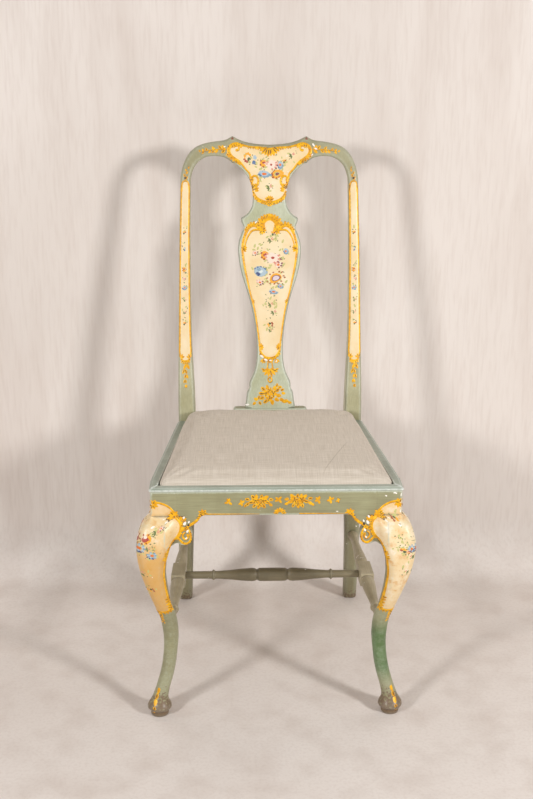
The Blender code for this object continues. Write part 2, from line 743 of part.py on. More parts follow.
def splat_shoe():
    """The block that holds the splat's foot, coved in above its base."""
    centre = SEAT_DEPTH + 2 * FIT + SHOE_DEPTH / 2
    base = RAIL_TOP + FIT
    rings = []
    levels = ((0, 1.06, 1), (0.35, 1.06, 1), (0.55, 1.01, 0.92), (0.85, 1, 0.88), (1, 0.985, 0.82))
    for share, spread, depth in levels:
        z = base + share * (SHOE_TOP - base)
        outline = section(spread * SHOE_HALF, depth * SHOE_DEPTH / 2, 0.30 * SHOE_DEPTH)
        rings.append([Vector((x, centre + y, z)) for x, y in outline])
    return place("splat_shoe", skin(rings), PAINT)


def turned(name, profile, start, toward):
    """A turning along an axis: (distance from start, radius) pairs, spun with a Screw."""
    mesh = bpy.data.meshes.new(name)
    shape = bmesh.new()
    run = [(0, profile[0][0])] + [(radius, far) for far, radius in profile] + [(0, profile[-1][0])]
    verts = [shape.verts.new((radius, 0, far)) for radius, far in reversed(run)]
    for a, b in zip(verts, verts[1:]):
        shape.edges.new((a, b))
    shape.to_mesh(mesh)
    shape.free()
    mesh.materials.append(PAINT)
    made = bpy.data.objects.new(name, mesh)
    chair.objects.link(made)
    made.parent = root
    made.location = start
    made.rotation_mode = "QUATERNION"
    made.rotation_quaternion = (toward - start).to_track_quat("Z", "Y")
    screw = made.modifiers.new("turned", "SCREW")
    screw.steps = 16
    screw.render_steps = 16
    screw.use_merge_vertices = True
    screw.merge_threshold = 0.00005
    screw.use_smooth_shade = True
    return made


def swelling(start, neck_end, swell):
    """A baluster that leaves a groove at start, swells and thins towards neck_end."""
    length = neck_end - start
    return [
        (start, 0.80 * swell),
        (start + 0.02 * length, 0.80 * swell),
        (start + 0.05 * length, 0.95 * swell),
        (start + 0.14 * length, swell),
        (start + 0.40 * length, 0.90 * swell),
        (start + 0.70 * length, 0.71 * swell),
        (neck_end, STRETCHER_NECK),
    ]


def turned_ring(at):
    rim = STRETCHER_RING - STRETCHER_NECK
    bead = [(at - 0.3 * rim, STRETCHER_RING), (at + 0.3 * rim, STRETCHER_RING)]
    return [(at - rim, STRETCHER_NECK)] + bead + [(at + rim, STRETCHER_NECK)]


def bore(name, receiver, ends, start, toward):
    """A round mortise with clearance for a stretcher's tenon, cut in the piece that receives it."""
    radius = STRETCHER_TENON + FIT
    hole = turned(name, [(end, radius) for end in sorted(ends)], start, toward)
    chair.objects.unlink(hole)
    cutters.objects.link(hole)
    hole.hide_render = True
    hole.display_type = "WIRE"
    boolean(receiver, hole, "DIFFERENCE")


def side_stretcher(name, side, leg, post):
    """The turned side stretcher with its square block, tenoned into the front leg and the rear post."""
    front = leg_centre(STRETCHER_HEIGHT, side) - Vector((side * STRETCHER_INSET, 0, 0))
    rear = post_centre(STRETCHER_HEIGHT, side)
    axis = (rear - front).normalized()
    crossing = front + axis * ((CROSS_SETBACK - front.y) / axis.y)
    shoulder = (STRETCHER_HEIGHT - STRETCHER_RING, STRETCHER_HEIGHT, STRETCHER_HEIGHT + STRETCHER_RING)
    leg_back = max(BLOCK_SIDE / 2 - leg_forward(z) + leg_half(z) for z in shoulder)
    post_front = min(SEAT_DEPTH + back_line(z) for z in shoulder)
    leg_face = (crossing.y - leg_back) / axis.y - FIT
    post_face = (post_front - crossing.y) / axis.y - FIT
    half_block = STRETCHER_BLOCK_LENGTH / 2
    ring_at = leg_face - STRETCHER_RING_SETBACK
    forward = [(leg_face + STRETCHER_TENON_LENGTH, STRETCHER_TENON), (leg_face, STRETCHER_TENON)]
    forward += [(leg_face, STRETCHER_NECK)]
    forward += turned_ring(ring_at)[::-1]
    forward += swelling(half_block, ring_at - STRETCHER_NECK_LENGTH, STRETCHER_SWELL)[::-1]
    backward = swelling(half_block, 0.78 * post_face, 0.95 * STRETCHER_SWELL)
    backward += [(0.90 * post_face, STRETCHER_NECK), (0.97 * post_face, STRETCHER_RING)]
    backward += [(post_face, STRETCHER_RING), (post_face, STRETCHER_TENON)]
    backward += [(post_face + 2 * STRETCHER_TENON_LENGTH, STRETCHER_TENON)]
    profile = [(-far, radius) for far, radius in forward] + backward
    made = turned(name, profile, crossing, rear)
    half = STRETCHER_BLOCK / 2
    square = helper(f"{name}_square", block((-half, -half, -half_block), (half, half, half_block)))
    square.matrix_basis = made.matrix_basis
    boolean(made, square, "UNION")
    hole_depth = STRETCHER_TENON_LENGTH + 2 * FIT
    for receiver, at, deep in ((leg, -leg_face, -hole_depth), (post, post_face, 2 * hole_depth)):
        near = at - math.copysign(2 * hole_depth, deep)
        bore(f"{name}_{receiver.name}_hole", receiver, (near, at + deep), crossing, rear)
    return made, crossing


def cross_stretcher(left, right, left_spot, right_spot):
    """The turned stretcher between the side stretchers' blocks, with a barrel in the middle."""
    middle = (left_spot + right_spot) / 2
    face = (right_spot - middle).length - STRETCHER_BLOCK / 2 - FIT
    ring_at = 0.68 * face
    half = [(0.60 * BARREL_HALF, STRETCHER_SWELL), (0.93 * BARREL_HALF, 0.97 * STRETCHER_SWELL)]
    half += [(BARREL_HALF, 0.84 * STRETCHER_SWELL)]
    half += swelling(BARREL_HALF + BARREL_GROOVE, ring_at - STRETCHER_NECK_LENGTH, STRETCHER_SWELL)
    half += turned_ring(ring_at)
    half += [(face, 0.95 * STRETCHER_NECK), (face, STRETCHER_TENON)]
    half += [(face + STRETCHER_TENON_LENGTH, STRETCHER_TENON)]
    profile = [(-far, radius) for far, radius in reversed(half)] + half
    made = turned("cross_stretcher", profile, middle, right_spot)
    reach = face + STRETCHER_TENON_LENGTH + FIT
    for receiver, side in ((left, -1), (right, 1)):
        ends = (side * (face - STRETCHER_TENON_LENGTH), side * reach)
        bore(f"{receiver.name}_cross_hole", receiver, ends, middle, right_spot)
    return made


def seat_frame():
    """Four boards sawn to the seat's outline, the side ones tenoned into the front and back ones."""
    inset = LINEN_THICK + FIT
    outline = seat_outline(inset)
    front = LIP_WIDTH + SEAT_GAP + SEAT_FRAME_WIDTH
    back = SEAT_DEPTH - SEAT_GAP - SEAT_FRAME_WIDTH
    far = FRONT_WIDTH
    low = SEAT_FRAME_BASE
    high = SEAT_FRAME_TOP
    boards = {}
    keeps = {"front": (-far, front), "back": (back, far)}
    for end, (start, stop) in keeps.items():
        board = place(f"seat_frame_{end}", prism(outline, low, high), BEECH, seat_lift)
        keep = block((-far, start, 0), (far, stop, 1))
        boolean(board, helper(f"seat_frame_{end}_length", keep, seat_lift), "INTERSECT")
        boards[end] = board
    middle = (low + high) / 2
    for word, side in SIDES:
        board = place(f"seat_frame_{word}", prism(outline, low, high), BEECH, seat_lift)
        start = front + FIT
        stop = back - FIT
        inner = LIP_WIDTH + SEAT_GAP + SEAT_FRAME_WIDTH
        keep = [(far, start), (far, stop), (side_face(stop, inner), stop), (side_face(start, inner), start)]
        kept = prism(mirrored(keep, side), 0, 1)
        boolean(board, helper(f"seat_frame_{word}_length", kept, seat_lift), "INTERSECT")
        for end, y, reach in (("front", start, -SEAT_TENON_LENGTH), ("back", stop, SEAT_TENON_LENGTH)):
            centre = side * side_face(y, inner - SEAT_FRAME_WIDTH / 2)
            half = SEAT_FRAME_WIDTH / 4
            tenon(
                f"seat_frame_{word}_{end}",
                board,
                boards[end],
                (centre - half, y - math.copysign(TENON_SHOULDER, reach), middle - SEAT_TENON_THICK / 2),
                (centre + half, y + reach, middle + SEAT_TENON_THICK / 2),
                seat_lift,
            )


def webbing_strap(name, start, end, crossings):
    """A strap that lies low on the frame and rises over the straps at the given distances along it."""
    along = (end - start).normalized()
    across = Vector((-along.y, along.x, 0)) * WEBBING_WIDTH / 2
    flat = WEBBING_WIDTH / 2 + 2 * LINEN_THICK
    path = [(0, WEBBING_LOW)]
    for far in crossings:
        path += [(far - flat - WEBBING_RAMP, WEBBING_LOW), (far - flat, WEBBING_HIGH)]
        path += [(far + flat, WEBBING_HIGH), (far + flat + WEBBING_RAMP, WEBBING_LOW)]
    path += [((end - start).length, WEBBING_LOW)]
    shape = bmesh.new()
    rows = []
    for far, z in path:
        spot = start + along * far
        rows.append([shape.verts.new((spot.x + k * across.x, spot.y + k * across.y, z)) for k in (1, -1)])
    for (a, b), (d, c) in zip(rows, rows[1:]):
        shape.faces.new((a, b, c, d))
    made = place(name, shape, JUTE, seat_lift)
    thicken = made.modifiers.new("strap_thickness", "SOLIDIFY")
    thicken.thickness = WEBBING_THICK
    thicken.offset = 0
    return made


def webbing():
    edge = LIP_WIDTH + SEAT_GAP + WEBBING_EDGE
    back = SEAT_DEPTH - SEAT_GAP - WEBBING_EDGE
    middle = (edge + back) / 2
    shifts = (-WEBBING_SPACING, 0, WEBBING_SPACING)
    for i, x in enumerate(shifts):
        over = [middle + y - edge for j, y in enumerate(shifts) if (i + j) % 2 == 0]
        webbing_strap(f"webbing_long_{i + 1}", Vector((x, edge, 0)), Vector((x, back, 0)), over)
    for j, shift in enumerate(shifts):
        y = middle + shift
        half = side_face(y + WEBBING_WIDTH / 2, edge)
        over = [half + x for i, x in enumerate(shifts) if (i + j) % 2 == 1]
        webbing_strap(f"webbing_cross_{j + 1}", Vector((-half, y, 0)), Vector((half, y, 0)), over)


def crown_rings(inset, drop):
    """Rings of the pad from its rolled edge to its crown, moved in by inset and lowered by drop."""
    profile = []
    for angle in (0, 20, 40, 60, 80):
        turn = math.radians(angle)
        profile.append((SEAT_ROLL_WIDTH * (1 - math.cos(turn)), SEAT_ROLL_RISE * math.sin(turn)))
    rolled = profile[-1][0]
    reach = (SEAT_DEPTH - LIP_WIDTH) / 2 - rolled
    for share in (0.10, 0.26, 0.45, 0.66, 0.88):
        profile.append((rolled + share * reach, SEAT_ROLL_RISE + SEAT_CROWN * (1 - (1 - share) ** 2.4)))
    rings = []
    for far, rise in profile:
        outline = seat_outline(inset + far, run=3)
        rings.append([(x, y, LINEN_EDGE + rise - drop) for x, y in outline])
    return rings


def soft_parts():
    hessian = prism(seat_outline(6 * LINEN_THICK), HESSIAN_BASE, HESSIAN_BASE + HESSIAN_THICK)
    place("seat_hessian", hessian, JUTE, seat_lift)
    stuffing_inset = 3 * LINEN_THICK
    stuffing_drop = LINEN_THICK + 2 * FIT
    flat = [(x, y, STUFFING_BASE) for x, y in seat_outline(2 * stuffing_inset, run=3)]
    side = [(x, y, STUFFING_BASE + FIT) for x, y in seat_outline(stuffing_inset, run=3)]
    pad = skin([flat, side] + crown_rings(stuffing_inset, stuffing_drop))
    place("seat_stuffing", pad, LINEN, seat_lift)
    turned_under = [(x, y, SEAT_BASE) for x, y in seat_outline(LINEN_TURN_UNDER, run=3)]
    underside = [(x, y, SEAT_BASE) for x, y in seat_outline(LINEN_THICK / 2, run=3)]
    low_side = [(x, y, SEAT_BASE + LINEN_THICK / 2) for x, y in seat_outline(0, run=3)]
    rings = [turned_under, underside, low_side] + crown_rings(0, 0)
    cover = place("linen_cover", skin(rings, closed=False), LINEN, seat_lift)
    thicken = cover.modifiers.new("cloth_thickness", "SOLIDIFY")
    thicken.thickness = LINEN_THICK
    thicken.offset = -1


posts = {}
legs = {}
for word, side in SIDES:
    posts[word] = rear_post(f"{word}_rear_post", side)
    legs[word] = front_leg(f"{word}_front_leg", side)

well = helper("seat_well", prism(seat_outline(-SEAT_GAP), LEDGE, CREST_JOINT))
front_rail = straight_rail("front_seat_rail", FRONT_WIDTH / 2 - BLOCK_SIDE - FIT, 0, RAIL_THICK)
post_face = BACK_WIDTH / 2 - POST_WIDTH_AT_SEAT
rear_rail_front = SEAT_DEPTH - REAR_LEDGE
rear_rail_back = SEAT_DEPTH + REAR_RAIL_BEHIND
rear_rail = straight_rail("rear_seat_rail", post_face - FIT, rear_rail_front, rear_rail_back)
rails = {word: side_rail(f"{word}_seat_rail", side) for word, side in SIDES}

tenon_low = RAIL_BOTTOM + TENON_SHOULDER
tenon_high = LEDGE - TENON_SHOULDER / 2
leg_face = FRONT_WIDTH / 2 - BLOCK_SIDE
half_thick = TENON_THICK / 2
for word, side in SIDES:
    front_mid = RAIL_THICK / 2
    tenon(
        f"front_rail_{word}",
        front_rail,
        legs[word],
        (side * (leg_face - TENON_SHOULDER), front_mid - half_thick, tenon_low),
        (side * (leg_face + FRONT_TENON), front_mid + half_thick, tenon_high),
    )
    rear_mid = SEAT_DEPTH + POST_DEPTH_AT_SEAT / 2
    tenon(
        f"rear_rail_{word}",
        rear_rail,
        posts[word],
        (side * (post_face - TENON_SHOULDER), rear_mid - half_thick, tenon_low),
        (side * (post_face + REAR_TENON), rear_mid + half_thick, tenon_high),
    )
    ends = ((legs[word], BLOCK_SIDE, -FRONT_TENON), (posts[word], SEAT_DEPTH, REAR_TENON))
    for receiver, y, reach in ends:
        centre = side * side_face(y, RAIL_THICK / 2)
        tenon(
            f"{word}_rail_{receiver.name}",
            rails[word],
            receiver,
            (centre - half_thick, y - math.copysign(TENON_SHOULDER, reach), tenon_low),
            (centre + half_thick, y + reach, tenon_high),
        )
for piece in (front_rail, rear_rail, *rails.values(), *legs.values()):
    boolean(piece, well, "DIFFERENCE")

rim_mouldings()
corner_blocks()
for word, side in SIDES:
    scribe = helper(f"{word}_leg_scribe", skin(leg_rings(side, FIT)))
    knee_bracket(f"front_{word}_knee_bracket", side, False, scribe)
    knee_bracket(f"side_{word}_knee_bracket", side, True, scribe)

crest = crest_rail()
for word, side in SIDES:
    at = post_centre(CREST_JOINT, side)
    half = CREST_TENON_SIDE / 2
    lean = CREST_TENON * RAKE_SLOPE / 2
    tenon(
        f"crest_{word}",
        posts[word],
        crest,
        (at.x - half, at.y + lean - half, CREST_JOINT - TENON_SHOULDER),
        (at.x + half, at.y + lean + half, CREST_JOINT + CREST_TENON),
    )
splat = back_splat()
shoe = splat_shoe()
half_tongue = TONGUE_THICK / 2
crest_seat = CREST_JOINT + CREST_UNDERSIDE
for name, receiver, z, reach, half in (
    ("splat_top", crest, crest_seat, TONGUE_DEPTH, SPLAT_TOP - TONGUE_SHOULDER),
    ("splat_foot", shoe, SHOE_TOP, -TONGUE_DEPTH, SPLAT_BASE - TONGUE_SHOULDER),
):
    y = splat_centre(z)
    tenon(
        name,
        splat,
        receiver,
        (-half, y - half_tongue, z - math.copysign(TONGUE_DEPTH / 2, reach)),
        (half, y + half_tongue, z + reach),
    )

stretchers = {}
crossings = {}
for word, side in SIDES:
    made, spot = side_stretcher(f"{word}_side_stretcher", side, legs[word], posts[word])
    stretchers[word] = made
    crossings[word] = spot
cross_stretcher(stretchers["left"], stretchers["right"], crossings["left"], crossings["right"])

seat_frame()
webbing()
soft_parts()

knee_front = min(point.y for ring in leg_rings(1) for point in ring)
crest_back = max(point.y for ring in crest_rings() for point in ring)
root.location.y = -(knee_front + crest_back) / 2
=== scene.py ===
"""Looks of the painted side chair: its aged paint, gilding, flowers, linen seat, studio and camera."""
import math
import random

import bmesh
import bpy
import numpy as np
from mathutils import Matrix, Vector
from mathutils.bvhtree import BVHTree


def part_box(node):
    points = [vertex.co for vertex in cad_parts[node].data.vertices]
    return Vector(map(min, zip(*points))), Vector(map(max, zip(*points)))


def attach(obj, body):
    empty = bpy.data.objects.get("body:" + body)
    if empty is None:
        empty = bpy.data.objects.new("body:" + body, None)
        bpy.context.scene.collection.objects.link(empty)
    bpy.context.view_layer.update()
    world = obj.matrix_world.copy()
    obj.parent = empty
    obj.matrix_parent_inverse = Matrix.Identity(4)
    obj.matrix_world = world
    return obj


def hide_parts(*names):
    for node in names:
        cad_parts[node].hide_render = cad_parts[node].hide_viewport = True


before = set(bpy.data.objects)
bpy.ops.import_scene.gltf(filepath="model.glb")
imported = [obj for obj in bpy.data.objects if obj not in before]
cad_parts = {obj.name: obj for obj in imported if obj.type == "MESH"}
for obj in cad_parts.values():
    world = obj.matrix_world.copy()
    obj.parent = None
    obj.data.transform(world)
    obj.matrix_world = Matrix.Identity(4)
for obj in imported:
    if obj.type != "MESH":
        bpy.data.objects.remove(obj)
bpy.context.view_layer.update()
scene = bpy.context.scene
MM = 0.001

# Camera: where the photograph was taken from, relative to the face of the front rail.
CAMERA_AWAY = 1.9197
CAMERA_ASIDE = -0.0725
CAMERA_HEIGHT = 1.207
CAMERA_YAW = math.radians(1.62)
CAMERA_PITCH = math.radians(17.135)
CAMERA_ROLL = math.radians(0.178)
CAMERA_LENS = 53.126
SENSOR_HEIGHT = 36

# Dense copies of the carved wood: the grid of each, in metres, and the passes of smoothing that tell its
# arrises, level the joint of the splat and fair the knees.
BACK_GRID = 0.00155
SEAT_FRAME_GRID = 0.0016
RAIL_GRID = 0.0018
TRIM_GRID = 0.0010
ARRIS_PASSES = 14
JOINT_PASSES = 60
KNEE_PASSES = 240

# Joints of the back, where the painted surface runs on without a seam. The splat's own arris is left alone.
CREST_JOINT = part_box("crest_rail")[0].z
CREST_UNDERSIDE = CREST_JOINT + 0.030
SPLAT_TOP_HALF = 0.0755
SPLAT_ARRIS = 0.006
SPLAT_FADE = 0.008
SPLAT_BLEND = 0.020
POST_INNER = 0.120

# Seat frame: the front rail's face and underside, and the square block at the head of each front leg.
RAIL_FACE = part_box("front_seat_rail")[0].y
RAIL_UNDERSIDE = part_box("front_seat_rail")[0].z
FRONT_HALF = 0.2213
BLOCK_SIDE = 0.046
BLOCK_INNER = FRONT_HALF - BLOCK_SIDE
BLOCK_BACK = RAIL_FACE + BLOCK_SIDE

# Where a knee runs over into a bracket: below the rail, in from the corner, and how deep behind the face.
FAIRED_BELOW = 0.003, 0.050
FAIRED_IN = 0.026, 0.060
FAIRED_DEEP = 0.012

# Decoration, in millimetres: the relief of its strokes and how far their edges are sunk into the paint.
GILT_RELIEF = 0.75
LINE_RELIEF = 0.45
PETAL_RELIEF = 0.35
SHADE_RELIEF = 0.12
STROKE_SUNK = 0.12
PETAL_SUNK = 0.06
STROKE_STEP = 1.6
FULL_RELIEF_WIDTH = 2.5
VEINED_WIDTH = 4.4
PETAL_SIDES = 10
PETAL_BEND = 8.0

# Linen seat: lengths in metres, passes of rounding, the share of its height kept in front, and its cloth.
LINEN_GRID = 0.0046
LINEN_THICK = 0.0009
LINEN_TURN_UNDER = 0.016
LINEN_UNDERSIDE = 0.002
LINEN_SWELL = 0.0028
LINEN_ROUNDING = 28
LINEN_FRONT_SHARE = 0.45
LINEN_PRESSURE = 3.0
LINEN_TENSION = 40
LINEN_BENDING = 4
LINEN_STEPS = 16
CREASE_FROM = Vector((0.082, -0.214))
CREASE_TO = Vector((0.139, -0.079))
CREASE_FADE = 0.02
THREAD_MM = 1.5


def hex_colour(code):
    """Linear colour for a shader socket from an sRGB hex value."""
    parts = [int(code[i:i + 2], 16) / 255 for i in (1, 3, 5)]
    return tuple(c / 12.92 if c <= 0.04045 else ((c + 0.055) / 1.055) ** 2.4 for c in parts) + (1.0,)


def feed(tree, node, inputs):
    """Sets a node's inputs: each is a value, a socket or a node, whose first socket in use then feeds it."""
    for key, value in inputs.items():
        if isinstance(value, bpy.types.Node):
            value = next(socket for socket in value.outputs if socket.enabled)
        if isinstance(value, bpy.types.NodeSocket):
            tree.links.new(value, node.inputs[key])
        else:
            node.inputs[key].default_value = value
    return node


def add(tree, kind, inputs=None, **settings):
    """One shader node with its settings and links."""
    made = tree.nodes.new(kind)
    for key, value in settings.items():
        setattr(made, key, value)
    return feed(tree, made, inputs or {})


def new_finish(name):
    """An empty material: its node tree and its surface shader."""
    made = bpy.data.materials.new(name)
    made.use_nodes = True
    return made, made.node_tree, made.node_tree.nodes["Principled BSDF"]


def per_metre(millimetres):
    """Scale of a pattern that repeats once in so many millimetres."""
    return 1000.0 / millimetres


def aged_paint(name, pale, deep, grime, rubbed_and_lit, brush, worn=0.8, kicked_to=-0.012, height_shade=0.0,
               mottled=0.15, handled=0.0):
    """Oil paint brushed over gesso and varnished two centuries ago.

    The eye gets a cloudy colour that drifts over a hand's width, faint brush lines along the piece, dirt in the
    hollows, arrises rubbed pale by wear and made paler still as a painted highlight, the outermost arrises
    darkened as painted shade, small chips down to the white gesso and a dull gloss. The posts and the crest are
    darkened low down and at the top as painted shade. The cream of the reserves is yellowed in clouds and towards
    its edges by old varnish, with ochre and chalky retouching; on the knees a darker ochre is partly old varnish
    and partly painted shade. Near the floor the paint is kicked away to brown wood.
    """
    made, tree, shader = new_finish(name)
    place = add(tree, "ShaderNodeTexCoord").outputs["Object"]
    height = add(tree, "ShaderNodeSeparateXYZ", {0: place}).outputs["Z"]
    arris, reserve, repaint, varnish = [add(tree, "ShaderNodeAttribute", attribute_name=mark).outputs["Fac"]
                                        for mark in ("arris", "reserve", "repaint", "varnish")]
    # Brush hairs are about 0.4 mm apart; drawn at 1.5 mm so that they show at all.
    along = add(tree, "ShaderNodeMapping", {"Vector": place, "Scale": [per_metre(m) for m in brush]})
    lines = add(tree, "ShaderNodeTexNoise", {"Vector": along, "Scale": 1.0, "Detail": 3.0})
    clouds, specks, patches, chips = [
        add(tree, "ShaderNodeTexNoise", {"Vector": place, "Scale": per_metre(size), "Detail": detail,
                                         "Roughness": uneven})
        for size, detail, uneven in ((55, 5.0, 0.5), (4.5, 6.0, 0.65), (24, 8.0, 0.72), (13, 3.0, 0.5))]
    # Arrises rubbed pale: partly real wear through the paint, partly a painted highlight where the rounded edges
    # catch the lamps.
    rub = add(tree, "ShaderNodeMath", {0: arris, 1: specks}, operation="MULTIPLY")
    scuffed = add(tree, "ShaderNodeMath", {0: specks, 1: 0.17, 2: -0.065}, operation="MULTIPLY_ADD")
    low = add(tree, "ShaderNodeMath", {0: height, 1: scuffed}, operation="SUBTRACT")
    # Shares of the coats: what each goes by, where it begins, where it is full and how much then shows.
    shares = {"repaint": repaint, "varnish": varnish}
    for key, by, start, full, most in (
            ("cloud", clouds, 0.32, 0.68, 1.0), ("line", lines, 0.35, 0.75, 0.32),
            # Painted shade: the posts and the crest are darkened low down and at the top, where less light reaches
            # them.
            ("low dust", height, 0.40, 0.30, 1.7 * height_shade), ("top dust", height, 0.80, 0.98, height_shade),
            ("edge", reserve, 19.0, 10.0, 0.55), ("ochre", patches, 0.52, 0.66, mottled),
            ("chalk", patches, 0.47, 0.36, mottled), ("cream", reserve, 9.7, 10.3, 1.0),
            ("hollow", arris, -0.10, -0.55, 0.75), ("rub", rub, 0.07, 0.34, worn),
            # Painted shade: the outermost arrises are darkened, as where the rounded edges turn away from the lamps.
            ("handled", arris, 0.36, 0.55, handled), ("chip", chips, 0.735, 0.75, 1.0),
            ("kicked", low, kicked_to, kicked_to - 0.010, 0.75)):
        shares[key] = add(tree, "ShaderNodeMapRange", {0: by, 1: start, 2: full, 3: 0.0, 4: most})
    shares["dust"] = add(tree, "ShaderNodeMath", {0: shares["low dust"], 1: shares["top dust"]},
                         operation="MAXIMUM")
    # Coats in their order: the colour or coat that lies under, the share, and the one that goes over it.
    coats = {}
    for coat, under, share, over in (
            ("green", deep, "cloud", pale), ("fresh", "#436030", "cloud", "#5C7B48"),
            ("green", "green", "repaint", "fresh"), ("green", "green", "line", grime),
            ("green", "green", "dust", grime),
            ("cream", "#EBD19F", "cloud", "#F3E1BD"), ("cream", "cream", "edge", "#EBCF97"),
            ("cream", "cream", "ochre", "#D79A45"), ("cream", "cream", "chalk", "#F8F1E4"),
            # Darker ochre on the knees' cream: old varnish, and on the left knee also painted shade.
            ("cream", "cream", "varnish", "#D49F48"),
            ("whole", "green", "cream", "cream"), ("whole", "whole", "hollow", grime),
            ("whole", "whole", "rub", rubbed_and_lit), ("whole", "whole", "handled", grime),
            ("whole", "whole", "chip", "#EFE9DC"), ("whole", "whole", "kicked", "#6B4C3A")):
        below, above = [coats[c] if c in coats else hex_colour(c) for c in (under, over)]
        coats[coat] = add(tree, "ShaderNodeMix", {0: shares[share], 6: below, 7: above}, data_type="RGBA")
    gloss = add(tree, "ShaderNodeMapRange", {0: specks, 1: 0.3, 2: 0.7, 3: 0.4, 4: 0.64})
    rough = add(tree, "ShaderNodeMath", {0: lines, 1: specks}, operation="ADD")
    relief = add(tree, "ShaderNodeBump", {"Height": rough, "Strength": 0.35, "Distance": 0.0004})
    feed(tree, shader, {"Base Color": coats["whole"], "Roughness": gloss, "Normal": relief,
                        "Coat Weight": 0.3, "Coat Roughness": 0.28})
    return made


def gilt_finish():
    """Gilded gesso, burnished on its crowns: deep yellow with brown in the thin places and a soft gleam."""
    made, tree, shader = new_finish("gilt_gesso")
    place = add(tree, "ShaderNodeTexCoord").outputs["Object"]
    worn = add(tree, "ShaderNodeTexNoise", {"Vector": place, "Scale": per_metre(7), "Detail": 5.0})
    share = add(tree, "ShaderNodeMapRange", {0: worn, 1: 0.38, 2: 0.62})
    colour = add(tree, "ShaderNodeMix", {0: share, 6: hex_colour("#DA9600"), 7: hex_colour("#F6BC0E")},
                 data_type="RGBA")
    relief = add(tree, "ShaderNodeBump", {"Height": worn, "Strength": 0.3, "Distance": 0.0005})
    feed(tree, shader, {"Base Color": colour, "Normal": relief, "Metallic": 0.1, "Roughness": 0.42})
    return made


def flower_finish():
    """Thin oil colours laid on wet with a pointed brush: each dab has its own colour, a little uneven."""
    made, tree, shader = new_finish("flower_oil_paint")
    place = add(tree, "ShaderNodeTexCoord").outputs["Object"]
    dab_colour = add(tree, "ShaderNodeAttribute", attribute_name="dab").outputs["Color"]
    streaks = add(tree, "ShaderNodeTexNoise", {"Vector": place, "Scale": per_metre(2.5), "Detail": 3.0})
    share = add(tree, "ShaderNodeMapRange", {0: streaks, 1: 0.45, 2: 0.75, 3: 0.0, 4: 0.2})
    colour = add(tree, "ShaderNodeMix", {0: share, 6: dab_colour, 7: hex_colour("#F7E8C9")}, data_type="RGBA")
    relief = add(tree, "ShaderNodeBump", {"Height": streaks, "Strength": 0.2, "Distance": 0.0003})
    feed(tree, shader, {"Base Color": colour, "Normal": relief, "Roughness": 0.45})
    return made


def planed_beech():
    """Beech planed by hand and left bare: pale brown with short dark flecks along the grain, and no gloss."""
    made, tree, shader = new_finish("planed_beech")
    place = add(tree, "ShaderNodeTexCoord").outputs["Object"]
    # Beech rays are 1 to 3 mm long.
    stretched = add(tree, "ShaderNodeMapping", {"Vector": place, "Scale": [per_metre(m) for m in (3, 3, 1.2)]})
    flecks = add(tree, "ShaderNodeTexNoise", {"Vector": stretched, "Scale": 1.0, "Detail": 4.0})
    bands = add(tree, "ShaderNodeTexNoise", {"Vector": place, "Scale": per_metre(40), "Detail": 4.0})
    both = add(tree, "ShaderNodeMath", {0: flecks, 1: bands}, operation="MULTIPLY")
    share = add(tree, "ShaderNodeMapRange", {0: both, 1: 0.12, 2: 0.42})
    colour = add(tree, "ShaderNodeMix", {0: share, 6: hex_colour("#8C6A46"), 7: hex_colour("#C29C6E")},
                 data_type="RGBA")
    relief = add(tree, "ShaderNodeBump", {"Height": flecks, "Strength": 0.25, "Distance": 0.0003})
    feed(tree, shader, {"Base Color": colour, "Normal": relief, "Roughness": 0.7})
    return made


